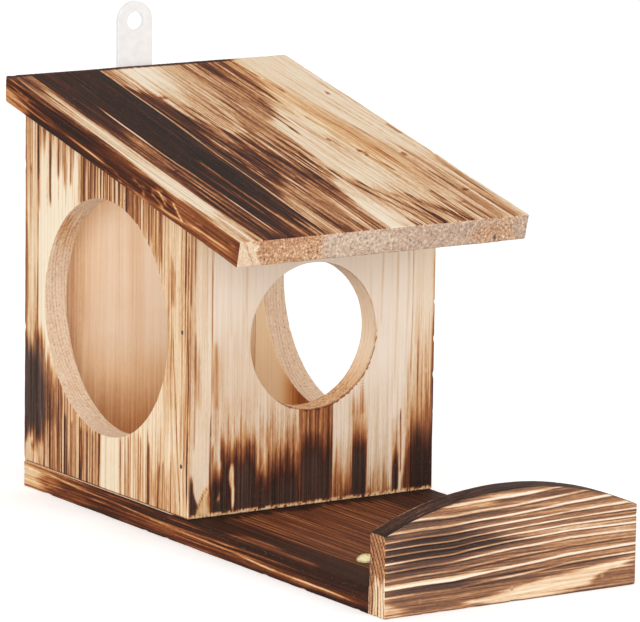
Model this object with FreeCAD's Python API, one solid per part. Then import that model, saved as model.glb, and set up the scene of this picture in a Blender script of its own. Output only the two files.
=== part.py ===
"""Squirrel feeder box made of flamed softwood boards.

A long base board carries a lean-to box at its back half and an open feeding platform in front.
An arched rail closes the platform's front end. The box has a round entrance in its front wall and
a larger round window in each side wall. Its roof board slopes down to the front and shades the
platform. A flat steel strip on the back wall stands above the roof and has the hole that the box
hangs by.

Frame: +Z up, +Y from the rail to the back wall, origin in the middle of the underside of base and rail.
"""

import FreeCAD
import Part
import math
import os

# Boards
BASE_THICKNESS = 12.0
WALL_THICKNESS = 12.0
ROOF_THICKNESS = 12.0
RAIL_THICKNESS = 12.0

# Box and platform
BOX_WIDTH = 130.0
BOX_DEPTH = 144.0
PLATFORM_LENGTH = 144.0
FRONT_HEIGHT = 134.5
ENTRANCE_DIAMETER = 66.0
ENTRANCE_HEIGHT = 76.5
WINDOW_DIAMETER = 107.0
WINDOW_HEIGHT = 78.5

# Roof board: its back end is cut plumb and its front end square
ROOF_SLOPE = 13.0
ROOF_FRONT_OVERHANG = 56.0
ROOF_SIDE_OVERHANG = 10.5

# Rail with an arched top
RAIL_END_HEIGHT = 35.5
RAIL_ARCH_RISE = 14.0

# Sanded edges
BOARD_EASE = 0.7
RIM_EASE = 0.5

# Hanger strip, left of the middle of the back wall
STRIP_WIDTH = 18.5
STRIP_THICKNESS = 2.0
STRIP_LENGTH = 92.0
STRIP_OFFSET = -6.5
STRIP_EASE = 0.3
HANG_HOLE_DIAMETER = 8.5
HANG_HOLE_ABOVE_ROOF = 20.5

# Countersunk screws that hold the strip
STRIP_SCREW_END_DISTANCE = 11.0
STRIP_SCREW_SPACING = 23.0
STRIP_SCREW_DIAMETER = 3.5
STRIP_SCREW_HEAD_DIAMETER = 6.6
STRIP_SCREW_HEAD_HEIGHT = 1.9
STRIP_SCREW_LENGTH = 12.0
STRIP_SCREW_RECESS_WIDTH = 0.8
STRIP_SCREW_RECESS_LENGTH = 3.6
STRIP_SCREW_RECESS_DEPTH = 1.0

# Round-head screw in the platform
PLATFORM_SCREW_FROM_SIDE = 25.3
PLATFORM_SCREW_FROM_RAIL = 40.2
PLATFORM_SCREW_DIAMETER = 4.0
PLATFORM_SCREW_HEAD_DIAMETER = 8.0
PLATFORM_SCREW_RIM_HEIGHT = 0.8
PLATFORM_SCREW_DOME_HEIGHT = 2.3
PLATFORM_SCREW_LENGTH = 10.0
PLATFORM_SCREW_RECESS_WIDTH = 0.9
PLATFORM_SCREW_RECESS_LENGTH = 4.4
PLATFORM_SCREW_RECESS_DEPTH = 1.4

# Brads that hold the boards together
BRAD_DIAMETER = 1.3
BRAD_HEAD_DIAMETER = 2.0
BRAD_HEAD_HEIGHT = 0.6
BRAD_LENGTH = 25.0
SIDE_BRAD_HEIGHT = 23.0
SIDE_BRAD_SPACING = 60.0
BACK_BRAD_HEIGHT = 18.0
BACK_BRAD_BELOW_ROOF = 16.0
ROOF_BRAD_INSET = 22.0
BASE_BRAD_INSET = 22.0
RAIL_BRAD_INSET = 18.0

# Room round the shank and head of every screw and brad, and past its tip
FASTENER_CLEARANCE = 0.05

# Planes worked out from the driving dimensions
FOOTPRINT_LENGTH = RAIL_THICKNESS + PLATFORM_LENGTH + BOX_DEPTH
RAIL_FRONT_Y = -FOOTPRINT_LENGTH / 2
RAIL_BACK_Y = RAIL_FRONT_Y + RAIL_THICKNESS
BOX_FRONT_Y = RAIL_BACK_Y + PLATFORM_LENGTH
BOX_BACK_Y = BOX_FRONT_Y + BOX_DEPTH
FRONT_WALL_BACK_Y = BOX_FRONT_Y + WALL_THICKNESS
BACK_WALL_FRONT_Y = BOX_BACK_Y - WALL_THICKNESS
WINDOW_Y = BOX_FRONT_Y + BOX_DEPTH / 2
HALF_WIDTH = BOX_WIDTH / 2
INNER_HALF_WIDTH = HALF_WIDTH - WALL_THICKNESS
SIDE_WALL_MIDDLE_X = HALF_WIDTH - WALL_THICKNESS / 2
SLOPE = math.radians(ROOF_SLOPE)
FLOOR_Z = BASE_THICKNESS
STRIP_FRONT_Y = BOX_BACK_Y
STRIP_BACK_Y = STRIP_FRONT_Y + STRIP_THICKNESS

X_AXIS = FreeCAD.Vector(1, 0, 0)
Y_AXIS = FreeCAD.Vector(0, 1, 0)
Z_AXIS = FreeCAD.Vector(0, 0, 1)
DOWN_THE_ROOF = FreeCAD.Vector(0, math.sin(SLOPE), -math.cos(SLOPE))


def roof_underside_z(y):
    """Height of the roof's underside, which every wall reaches."""
    return FLOOR_Z + FRONT_HEIGHT + (y - BOX_FRONT_Y) * math.tan(SLOPE)


def roof_top_z(y):
    """Height of the roof's top face."""
    return roof_underside_z(y) + ROOF_THICKNESS / math.cos(SLOPE)


ROOF_BACK_TOP_Z = roof_top_z(BOX_BACK_Y)
HANG_HOLE_Z = ROOF_BACK_TOP_Z + HANG_HOLE_ABOVE_ROOF
STRIP_TOP_Z = HANG_HOLE_Z + STRIP_WIDTH / 2
STRIP_BOTTOM_Z = STRIP_TOP_Z - STRIP_LENGTH


def vector(x, y, z):
    return FreeCAD.Vector(x, y, z)


def prism(points, sweep):
    """Solid made by moving a closed polygon along a vector."""
    outline = Part.makePolygon(points + points[:1])
    return Part.Face(outline).extrude(sweep)


def side_profile(points, from_x, to_x):
    """Prism whose outline is given as (y, z) points."""
    return prism([vector(from_x, y, z) for y, z in points], X_AXIS * (to_x - from_x))


def eased(board, radius=BOARD_EASE):
    """Board with all its edges rounded over, as sanding leaves them."""
    return board.makeFillet(radius, board.Edges)


def cut_round(board, centre, axis, diameter, thickness):
    """Board with a round opening from face to face, whose two rims are eased by a small chamfer."""
    radius = diameter / 2
    flare = 2 * RIM_EASE
    outline = [
        (0, -RIM_EASE),
        (radius + flare, -RIM_EASE),
        (radius, RIM_EASE),
        (radius, thickness - RIM_EASE),
        (radius + flare, thickness + RIM_EASE),
        (0, thickness + RIM_EASE),
    ]
    return board.cut(turned(outline, centre, axis))


def turned(outline, point, direction):
    """Solid of revolution. The outline's (radius, depth) points start and end on its axis."""
    wire = Part.makePolygon([vector(r, 0, d) for r, d in outline + outline[:1]])
    solid = Part.Face(wire).revolve(vector(0, 0, 0), Z_AXIS, 360)
    solid = Part.Solid(solid) if solid.ShapeType != "Solid" else solid
    solid.Placement = FreeCAD.Placement(point, FreeCAD.Rotation(Z_AXIS, direction))
    return solid


class Brad:
    """Wire nail with a small flat head, flush with the board that it is driven into."""

    def __init__(self, point, direction):
        self.point = point
        self.direction = direction

    def body(self, room):
        shank = BRAD_DIAMETER / 2 + room
        head = BRAD_HEAD_DIAMETER / 2 + room
        outline = [
            (0, 0),
            (head, 0),
            (head, BRAD_HEAD_HEIGHT),
            (shank, BRAD_HEAD_HEIGHT),
            (shank, BRAD_LENGTH - BRAD_DIAMETER),
            (0, BRAD_LENGTH + room),
        ]
        return turned(outline, self.point, self.direction)

    def solid(self):
        return self.body(0)

    def hole(self):
        return self.body(FASTENER_CLEARANCE)


class StripScrew(Brad):
    """Countersunk wood screw, flush with the strip's back face."""

    def body(self, room):
        shank = STRIP_SCREW_DIAMETER / 2 + room
        outline = [
            (0, 0),
            (STRIP_SCREW_HEAD_DIAMETER / 2 + room, 0),
            (shank, STRIP_SCREW_HEAD_HEIGHT),
            (shank, STRIP_SCREW_LENGTH - STRIP_SCREW_DIAMETER),
            (0, STRIP_SCREW_LENGTH + room),
        ]
        return turned(outline, self.point, self.direction)

    def solid(self):
        return self.body(0).cut(
            cross_recess(
                self.point,
                self.direction,
                STRIP_SCREW_RECESS_WIDTH,
                STRIP_SCREW_RECESS_LENGTH,
                STRIP_SCREW_RECESS_DEPTH,
            )
        )


class PlatformScrew(Brad):
    """Round-head wood screw that stands on the platform. Its point is the seat under the head."""

    def hole(self):
        room = FASTENER_CLEARANCE
        return turned(self.shank_outline(room), self.point, self.direction)

    def shank_outline(self, room):
        shank = PLATFORM_SCREW_DIAMETER / 2 + room
        return [
            (0, 0),
            (shank, 0),
            (shank, PLATFORM_SCREW_LENGTH - PLATFORM_SCREW_DIAMETER),
            (0, PLATFORM_SCREW_LENGTH + room),
        ]

    def head(self):
        radius = PLATFORM_SCREW_HEAD_DIAMETER / 2
        rise = PLATFORM_SCREW_DOME_HEIGHT
        ball = (radius**2 + rise**2) / (2 * rise)
        half_angle = math.asin(radius / ball) / 2
        rim = vector(radius, 0, PLATFORM_SCREW_RIM_HEIGHT)
        top = vector(0, 0, PLATFORM_SCREW_RIM_HEIGHT + rise)
        between = vector(ball * math.sin(half_angle), 0, top.z - ball * (1 - math.cos(half_angle)))
        wire = Part.Wire(
            [
                Part.makeLine(vector(0, 0, 0), vector(radius, 0, 0)),
                Part.makeLine(vector(radius, 0, 0), rim),
                Part.Arc(rim, between, top).toShape(),
                Part.makeLine(top, vector(0, 0, 0)),
            ]
        )
        head = Part.Face(wire).revolve(vector(0, 0, 0), Z_AXIS, 360)
        head = Part.Solid(head) if head.ShapeType != "Solid" else head
        head.translate(self.point)
        return head

    def solid(self):
        top = self.point + Z_AXIS * (PLATFORM_SCREW_RIM_HEIGHT + PLATFORM_SCREW_DOME_HEIGHT)
        recess = cross_recess(
            top,
            self.direction,
            PLATFORM_SCREW_RECESS_WIDTH,
            PLATFORM_SCREW_RECESS_LENGTH,
            PLATFORM_SCREW_RECESS_DEPTH,
        )
        shank = turned(self.shank_outline(0), self.point, self.direction)
        return self.head().fuse(shank).removeSplitter().cut(recess)


def cross_recess(point, direction, width, length, depth):
    """Cutter for the two crossed slots that a driver turns, sunk from a point along a direction."""
    bars = []
    for size_x, size_y in ((length, width), (width, length)):
        bar = Part.makeBox(size_x, size_y, 2 * depth)
        bar.translate(vector(-size_x / 2, -size_y / 2, -depth))
        bars.append(bar)
    recess = bars[0].fuse(bars[1]).removeSplitter()
    recess.Placement = FreeCAD.Placement(point, FreeCAD.Rotation(Z_AXIS, direction))
    return recess


def nailed(board, fasteners):
    """Board with the holes of the fasteners that pass through it."""
    return board.cut(Part.makeCompound([fastener.hole() for fastener in fasteners]))


def group(fasteners):
    """Identical fasteners as one compound of separate solids."""
    return Part.makeCompound([fastener.solid() for fastener in fasteners])


def both_sides(x):
    return (-x, x)


def side_brads(side):
    """Brads through a side wall into the front wall. Side is -1 on the left and 1 on the right."""
    y = BOX_FRONT_Y + WALL_THICKNESS / 2
    heights = (SIDE_BRAD_HEIGHT, SIDE_BRAD_HEIGHT + SIDE_BRAD_SPACING)
    return [Brad(vector(side * HALF_WIDTH, y, FLOOR_Z + height), X_AXIS * -side) for height in heights]


def back_brads():
    """Brads through the back wall into the back ends of the side walls, clear of the windows."""
    heights = (FLOOR_Z + BACK_BRAD_HEIGHT, roof_underside_z(BOX_BACK_Y) - BACK_BRAD_BELOW_ROOF)
    return [
        Brad(vector(x, BOX_BACK_Y, z), -Y_AXIS)
        for x in both_sides(SIDE_WALL_MIDDLE_X)
        for z in heights
    ]


def roof_brads():
    """Brads through the roof into the top edges of the side walls, square to the roof."""
    brads = []
    for x in both_sides(SIDE_WALL_MIDDLE_X):
        for y in (BOX_FRONT_Y + ROOF_BRAD_INSET, BACK_WALL_FRONT_Y - ROOF_BRAD_INSET):
            brads.append(Brad(vector(x, y, roof_top_z(y)), DOWN_THE_ROOF))
    return brads


def base_brads():
    """Brads up through the base into the bottom edges of the side walls."""
    return [
        Brad(vector(x, y, 0), Z_AXIS)
        for x in both_sides(SIDE_WALL_MIDDLE_X)
        for y in (BOX_FRONT_Y + BASE_BRAD_INSET, BACK_WALL_FRONT_Y - BASE_BRAD_INSET)
    ]


def rail_brads():
    """Brads through the rail into the base board's front end."""
    middle = BASE_THICKNESS / 2
    end = HALF_WIDTH - RAIL_BRAD_INSET
    return [Brad(vector(x, RAIL_FRONT_Y, middle), Y_AXIS) for x in (-end, 0, end)]


def strip_screws():
    lowest = STRIP_BOTTOM_Z + STRIP_SCREW_END_DISTANCE
    return [
        StripScrew(vector(STRIP_OFFSET, STRIP_BACK_Y, z), -Y_AXIS)
        for z in (lowest, lowest + STRIP_SCREW_SPACING)
    ]


def platform_screw():
    x = -HALF_WIDTH + PLATFORM_SCREW_FROM_SIDE
    y = RAIL_BACK_Y + PLATFORM_SCREW_FROM_RAIL
    return PlatformScrew(vector(x, y, FLOOR_Z), -Z_AXIS)


def base_board():
    length = BOX_BACK_Y - RAIL_BACK_Y
    board = Part.makeBox(BOX_WIDTH, length, BASE_THICKNESS, vector(-HALF_WIDTH, RAIL_BACK_Y, 0))
    return nailed(eased(board), base_brads() + rail_brads() + [platform_screw()])


def tray_rail():
    """Front rail whose top is one arc from end to end."""
    left_bottom = vector(-HALF_WIDTH, RAIL_FRONT_Y, 0)
    right_bottom = vector(HALF_WIDTH, RAIL_FRONT_Y, 0)
    right_top = vector(HALF_WIDTH, RAIL_FRONT_Y, RAIL_END_HEIGHT)
    left_top = vector(-HALF_WIDTH, RAIL_FRONT_Y, RAIL_END_HEIGHT)
    crown = vector(0, RAIL_FRONT_Y, RAIL_END_HEIGHT + RAIL_ARCH_RISE)
    outline = Part.Wire(
        [
            Part.makeLine(left_bottom, right_bottom),
            Part.makeLine(right_bottom, right_top),
            Part.Arc(right_top, crown, left_top).toShape(),
            Part.makeLine(left_top, left_bottom),
        ]
    )
    board = Part.Face(outline).extrude(Y_AXIS * RAIL_THICKNESS)
    return nailed(eased(board), rail_brads())


def side_wall(side):
    """Side wall with a sloping top and a round window. Side is -1 on the left and 1 on the right."""
    outline = [
        (BOX_FRONT_Y, FLOOR_Z),
        (BACK_WALL_FRONT_Y, FLOOR_Z),
        (BACK_WALL_FRONT_Y, roof_underside_z(BACK_WALL_FRONT_Y)),
        (BOX_FRONT_Y, roof_underside_z(BOX_FRONT_Y)),
    ]
    outer_x = side * HALF_WIDTH
    low_x, high_x = sorted((outer_x, side * INNER_HALF_WIDTH))
    board = eased(side_profile(outline, low_x, high_x))
    centre = vector(outer_x, WINDOW_Y, FLOOR_Z + WINDOW_HEIGHT)
    board = cut_round(board, centre, X_AXIS * -side, WINDOW_DIAMETER, WALL_THICKNESS)
    return nailed(board, side_brads(side) + back_brads() + roof_brads() + base_brads())


def front_wall():
    """Front wall between the side walls, with the round entrance. Its top is bevelled to the roof."""
    outline = [
        (BOX_FRONT_Y, FLOOR_Z),
        (FRONT_WALL_BACK_Y, FLOOR_Z),
        (FRONT_WALL_BACK_Y, roof_underside_z(FRONT_WALL_BACK_Y)),
        (BOX_FRONT_Y, roof_underside_z(BOX_FRONT_Y)),
    ]
    board = eased(side_profile(outline, -INNER_HALF_WIDTH, INNER_HALF_WIDTH))
    centre = vector(0, BOX_FRONT_Y, FLOOR_Z + ENTRANCE_HEIGHT)
    board = cut_round(board, centre, Y_AXIS, ENTRANCE_DIAMETER, WALL_THICKNESS)
    return nailed(board, side_brads(-1) + side_brads(1))


def back_wall():
    """Back wall across the back ends of the side walls. Its top is bevelled to the roof."""
    outline = [
        (BACK_WALL_FRONT_Y, FLOOR_Z),
        (BOX_BACK_Y, FLOOR_Z),
        (BOX_BACK_Y, roof_underside_z(BOX_BACK_Y)),
        (BACK_WALL_FRONT_Y, roof_underside_z(BACK_WALL_FRONT_Y)),
    ]
    board = eased(side_profile(outline, -HALF_WIDTH, HALF_WIDTH))
    return nailed(board, back_brads() + strip_screws())


def roof_board():
    """Roof board with a plumb back end, flush with the back wall, and a square front end."""
    front_y = BOX_FRONT_Y - ROOF_FRONT_OVERHANG * math.cos(SLOPE)
    front_z = roof_underside_z(front_y)
    outline = [
        (front_y, front_z),
        (BOX_BACK_Y, roof_underside_z(BOX_BACK_Y)),
        (BOX_BACK_Y, ROOF_BACK_TOP_Z),
        (front_y - ROOF_THICKNESS * math.sin(SLOPE), front_z + ROOF_THICKNESS * math.cos(SLOPE)),
    ]
    half_width = HALF_WIDTH + ROOF_SIDE_OVERHANG
    return nailed(eased(side_profile(outline, -half_width, half_width)), roof_brads())


def hanger_plate():
    """Steel strip with round ends and the hanging hole in the middle of its top end."""
    end_radius = STRIP_WIDTH / 2
    left = STRIP_OFFSET - end_radius
    right = STRIP_OFFSET + end_radius
    low = STRIP_BOTTOM_Z + end_radius
    outline = Part.Wire(
        [
            Part.makeLine(vector(left, STRIP_FRONT_Y, HANG_HOLE_Z), vector(left, STRIP_FRONT_Y, low)),
            Part.Arc(
                vector(left, STRIP_FRONT_Y, low),
                vector(STRIP_OFFSET, STRIP_FRONT_Y, STRIP_BOTTOM_Z),
                vector(right, STRIP_FRONT_Y, low),
            ).toShape(),
            Part.makeLine(vector(right, STRIP_FRONT_Y, low), vector(right, STRIP_FRONT_Y, HANG_HOLE_Z)),
            Part.Arc(
                vector(right, STRIP_FRONT_Y, HANG_HOLE_Z),
                vector(STRIP_OFFSET, STRIP_FRONT_Y, STRIP_TOP_Z),
                vector(left, STRIP_FRONT_Y, HANG_HOLE_Z),
            ).toShape(),
        ]
    )
    strip = Part.Face(outline).extrude(Y_AXIS * STRIP_THICKNESS)
    strip = strip.makeFillet(STRIP_EASE, strip.Edges)
    hole = vector(STRIP_OFFSET, STRIP_FRONT_Y, HANG_HOLE_Z)
    strip = strip.cut(Part.makeCylinder(HANG_HOLE_DIAMETER / 2, STRIP_THICKNESS, hole, Y_AXIS))
    return nailed(strip, strip_screws())


PARTS = {
    "base_board": base_board(),
    "tray_rail": tray_rail(),
    "left_wall": side_wall(-1),
    "right_wall": side_wall(1),
    "front_wall": front_wall(),
    "back_wall": back_wall(),
    "roof_board": roof_board(),
    "hanger_plate": hanger_plate(),
    "hanger_screws": group(strip_screws()),
    "platform_screw": platform_screw().solid(),
    "left_wall_brads": group(side_brads(-1)),
    "right_wall_brads": group(side_brads(1)),
    "back_wall_brads": group(back_brads()),
    "roof_brads": group(roof_brads()),
    "base_brads": group(base_brads()),
    "rail_brads": group(rail_brads()),
}

os.makedirs("parts", exist_ok=True)
for node, shape in PARTS.items():
    shape.exportStep(f"parts/{node}.step")
    box = shape.BoundBox
    print(
        f"{node}: {len(shape.Solids)} solid, {shape.Volume:.0f} mm3, "
        f"x {box.XMin:.1f} to {box.XMax:.1f}, "
        f"y {box.YMin:.1f} to {box.YMax:.1f}, "
        f"z {box.ZMin:.1f} to {box.ZMax:.1f}"
    )
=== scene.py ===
"""Looks of a flamed wooden squirrel feeder, built round its packed boards and fasteners.

Lengths in the mesh code are in millimetres of the CAD frame, and become metres when a mesh is made.
Each board is a closed mesh of its CAD solid, with worn edges and the relief of brushed wood. Its faces
carry painted values, such as how deep the flame has burnt, which its material turns into colour.
"""

import math

import bmesh
import bpy
import numpy as np
from mathutils import Matrix, Vector


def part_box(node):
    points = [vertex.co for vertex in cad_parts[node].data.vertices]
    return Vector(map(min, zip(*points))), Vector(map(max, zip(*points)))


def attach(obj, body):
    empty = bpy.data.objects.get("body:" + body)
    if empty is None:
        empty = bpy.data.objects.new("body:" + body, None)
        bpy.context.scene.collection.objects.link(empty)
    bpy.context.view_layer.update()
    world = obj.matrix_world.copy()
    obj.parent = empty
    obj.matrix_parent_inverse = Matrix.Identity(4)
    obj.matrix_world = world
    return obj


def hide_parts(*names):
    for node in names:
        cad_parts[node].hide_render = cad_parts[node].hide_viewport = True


MM = 0.001

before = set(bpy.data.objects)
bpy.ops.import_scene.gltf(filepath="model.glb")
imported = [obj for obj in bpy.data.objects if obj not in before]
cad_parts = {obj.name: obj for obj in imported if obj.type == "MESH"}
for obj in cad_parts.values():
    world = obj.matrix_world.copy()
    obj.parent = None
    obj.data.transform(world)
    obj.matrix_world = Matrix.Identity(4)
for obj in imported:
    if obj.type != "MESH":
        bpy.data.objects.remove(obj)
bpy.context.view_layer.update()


def box_mm(node):
    """Lowest and highest corner of a CAD node in millimetres."""
    return [np.array(corner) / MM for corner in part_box(node)]


# Planes of the boards, read from the frame
BASE_LOW, BASE_HIGH = box_mm("base_board")
RAIL_LOW, RAIL_HIGH = box_mm("tray_rail")
LEFT_LOW, LEFT_HIGH = box_mm("left_wall")
FRONT_LOW, FRONT_HIGH = box_mm("front_wall")
BACK_LOW, BACK_HIGH = box_mm("back_wall")

ROOF_HALF = box_mm("roof_board")[1][0]
HALF_WIDTH = BASE_HIGH[0]
BOARD = BASE_HIGH[2]
FLOOR = BASE_HIGH[2]
BOX_FRONT = LEFT_LOW[1]
BOX_BACK = BACK_HIGH[1]

# Sizes that no box gives. A round opening is its middle across, its middle's height and its radius
SLOPE = math.radians(13)
SIN, COS, TAN = math.sin(SLOPE), math.cos(SLOPE), math.tan(SLOPE)
FRONT_TOP = FLOOR + 134.5
ROOF_OVERHANG = 56.0
RAIL_END_HEIGHT = 35.5
ENTRANCE = (0.0, FLOOR + 76.5, 33.0)
WINDOW = ((BOX_FRONT + BOX_BACK) / 2, FLOOR + 78.5, 53.5)

ALONG_ROOF = np.array([0, COS, SIN])
OUT_OF_ROOF = np.array([0, -SIN, COS])
X, Y, Z = np.eye(3)


def roof_underside(y):
    return FRONT_TOP + (y - BOX_FRONT) * TAN


# Numbers that vary smoothly over space

# Factors that scramble a cell's place into its random value
CELL_FACTORS = (73856093, 19349663, 83492791)
SEED_FACTOR, FIRST_FACTOR, SECOND_FACTOR = 7919, 1274126177, 69069
ALL_BITS = 0xFFFFFFFF


def noise(points, seed=0):
    """Smooth noise from -1 to 1, with one random value per unit cell."""
    points = np.asarray(points, float)
    cell = np.floor(points).astype(np.int64)
    part = points - cell
    part = part * part * (3 - 2 * part)
    total = np.zeros(len(points))
    for corner in np.ndindex(2, 2, 2):
        key = ((cell + corner) * CELL_FACTORS).sum(1) + seed * SEED_FACTOR
        key = ((key ^ (key >> 13)) * FIRST_FACTOR) & ALL_BITS
        key = (key ^ (key >> 16)) * SECOND_FACTOR & ALL_BITS
        key ^= key >> 15
        total += np.where(corner, part, 1 - part).prod(1) * (key / (ALL_BITS // 2) - 1)
    return total


def grain_noise(across, along, width, length, seed=0):
    """Noise in streaks of about that width and length, in millimetres."""
    points = np.stack([across / width, along / length, np.full_like(across, seed * 3.7)], 1)
    return noise(points, seed)


def smooth(value, low, high):
    """0 below low, 1 above high and an S-curve between them."""
    part = np.clip((value - low) / (high - low), 0, 1)
    return part * part * (3 - 2 * part)


# Meshes of the boards

# Distances of the closely spaced points from an edge and from the rim of a round opening
NEAR_EDGE = np.array((0, 0.35, 0.8, 1.5, 2.4))
NEAR_RIM = np.array((0, 0.3, 0.7, 1.2, 2.0))
CELL_THROUGH_WALL = 0.6
LEAST_OVER_OPENING = 3.0
WELDED_PER_MM = 2000
TINY, AT_EDGE = 1e-9, 1e-6


def spread(length, cell):
    """Positions along an edge, closer together near both of its ends."""
    count = max(1, round((length - 2 * NEAR_EDGE[-1]) / cell))
    middle = np.linspace(NEAR_EDGE[-1], length - NEAR_EDGE[-1], count + 1)
    return np.concatenate([NEAR_EDGE[:-1], middle, length - NEAR_EDGE[:-1][::-1]])


def from_edge(length, cell):
    """Distances from an edge, closer together near it."""
    count = max(1, round((length - NEAR_EDGE[-1]) / cell))
    return np.concatenate([NEAR_EDGE[:-1], np.linspace(NEAR_EDGE[-1], length, count + 1)])


class BoardMesh:
    """Quads on the flat faces of a sharp-edged board. Each quad remembers the face that it lies on."""

    def __init__(self):
        self.points, self.quads, self.faces = [], [], []
        self.count = 0

    def patch(self, grid, face, ring=False):
        """Quads of a grid of points, which closes on itself if it is a ring."""
        rows, columns = grid.shape[:2]
        index = self.count + np.arange(rows * columns).reshape(rows, columns)
        if ring:
            index = np.concatenate([index, index[:, :1]], 1)
        quads = np.stack([index[:-1, :-1], index[1:, :-1], index[1:, 1:], index[:-1, 1:]], -1)
        quads = quads.reshape(-1, 4)
        self.points.append(grid.reshape(-1, 3))
        self.quads.append(quads)
        self.faces += [face] * len(quads)
        self.count += rows * columns

    def merged(self):
        """Points without doubles, quads and the face of each quad."""
        points = np.concatenate(self.points)
        quads = np.concatenate(self.quads)
        keys = np.round(points * WELDED_PER_MM).astype(np.int64)
        _, first, inverse = np.unique(keys, axis=0, return_index=True, return_inverse=True)
        return points[first], inverse.reshape(-1)[quads], np.array(self.faces)


def block(a, b, c, place):
    """Board without a hole. Place turns positions along its three edges into points."""
    mesh = BoardMesh()

    def face(name, first, second, fixed, value):
        grids = np.meshgrid(first, second, indexing="ij")
        grids.insert(fixed, np.full_like(grids[0], value))
        mesh.patch(place(*grids), name)

    face("a0", b, c, 0, a[0])
    face("a1", b, c, 0, a[-1])
    face("b0", a, c, 1, b[0])
    face("b1", a, c, 1, b[-1])
    face("c0", a, b, 2, c[0])
    face("c1", a, b, 2, c[-1])
    return mesh


def drilled(outline_0, outline_1, cells, hole, margin, place, depth, rings):
    """Board with a round hole. Its faces 0 and 1 are grids, with rings of quads in a square round the hole.

    An outline gives the lowest u, the highest u, the lowest v, and the highest v at these two u. Cells are
    the sizes of the quads along u and v, and rings the number of rings on each of the two faces.
    """
    mesh = BoardMesh()
    centre, radius = np.array(hole[:2]), hole[2]
    (left, base), (right, crown) = centre - radius - margin, centre + radius + margin
    start, end, floor = outline_0[:3]
    before = start + from_edge(left - start, cells[0])
    after = end - from_edge(end - right, cells[0])[::-1]
    middle = np.linspace(left, right, round((right - left) / cells[0]) + 1)
    u = np.concatenate([before, middle[1:-1], after])
    first, last = len(before) - 1, len(before) + len(middle) - 2
    below = floor + from_edge(base - floor, cells[1])
    beside = np.linspace(0, 1, round((crown - base) / cells[1]) + 1)
    above = max(outline_0[3:]) - crown
    above = 1 - from_edge(above, cells[1])[::-1] / above
    lower, upper = len(below) - 1, len(below) + len(beside) - 2
    levels = spread(depth, CELL_THROUGH_WALL)
    grids = []
    for outline, level, count, name in zip((outline_0, outline_1), (0.0, depth), rings, ("c0", "c1")):
        top = np.interp(u, outline[:2], outline[3:])
        waist = np.minimum(crown, top - LEAST_OVER_OPENING)
        rows = [np.full_like(u, v) for v in below]
        rows += [base + share * (waist - base) for share in beside[1:]]
        rows += [waist + share * (top - waist) for share in above[1:]]
        grid = np.stack([np.broadcast_to(u, (len(rows), len(u))), np.array(rows)], -1)
        grids.append(grid)

        def face(flat, ring=False):
            mesh.patch(place(flat[..., 0], flat[..., 1], np.full(flat.shape[:2], level)), name, ring)

        face(grid[: lower + 1])
        face(grid[upper:])
        face(grid[lower : upper + 1, : first + 1])
        face(grid[lower : upper + 1, last:])
        square = [
            grid[lower, first:last],
            grid[lower:upper, last],
            grid[upper, last:first:-1],
            grid[upper:lower:-1, first],
        ]
        outer = np.concatenate(square)
        away = outer - centre
        reach = np.linalg.norm(away, axis=1)
        inner = centre + radius * away / reach[:, None]
        steps = [np.full_like(reach, step) for step in NEAR_RIM]
        rest = reach - radius - NEAR_RIM[-1]
        steps += [NEAR_RIM[-1] + rest * k / count for k in range(1, count + 1)]
        face(inner + (np.array(steps) / (reach - radius))[..., None] * (outer - inner), ring=True)
    depths = np.broadcast_to(levels[:, None], (len(levels), len(inner)))
    tube = np.broadcast_to(inner, (*depths.shape, 2))
    mesh.patch(place(tube[..., 0], tube[..., 1], depths), "hole", ring=True)
    edges = [(slice(None), -1), (-1, slice(None, None, -1)), (slice(None, None, -1), 0), (0, slice(None))]
    for number, edge in enumerate(edges):
        near, far = grids[0][edge], grids[1][edge]
        flat = near + (levels / depth)[:, None, None] * (far - near)
        depths = np.broadcast_to(levels[:, None], flat.shape[:2])
        mesh.patch(place(flat[..., 0], flat[..., 1], depths), f"side{number}")
    return mesh


def worn(points, planes, radius, sink, arc=None, hole=None):
    """Sharp-edged points moved onto rounded edges of the given radius and sunk by the relief.

    Planes are (outward normal, offset). An arc is the height of its middle and its radius, and a hole is a
    point of its axis, the axis and its radius.
    """
    inner = points.copy()
    for _ in range(3):
        for normal, offset in planes:
            excess = np.maximum(inner @ normal - (offset - radius), 0)
            inner -= excess[:, None] * normal
        if arc:
            centre = np.array([0, arc[0]])
            flat = inner[:, [0, 2]] - centre
            reach = np.linalg.norm(flat, axis=1)
            scale = np.minimum(1, (arc[1] - radius) / np.maximum(reach, TINY))
            inner[:, [0, 2]] = centre + flat * scale[:, None]
    if hole is not None:
        middle, axis, hole_radius = hole
        flat = inner - middle
        flat -= np.outer(flat @ axis, axis)
        reach = np.linalg.norm(flat, axis=1)
        lack = np.clip(hole_radius + radius - reach, 0, radius)
        inner += flat / np.maximum(reach, TINY)[:, None] * lack[:, None]
    away = points - inner
    length = np.linalg.norm(away, axis=1)
    away /= np.maximum(length, TINY)[:, None]
    return inner + away * (np.where(length > AT_EDGE, radius, 0) - sink)[:, None]


# Values painted on a face


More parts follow.
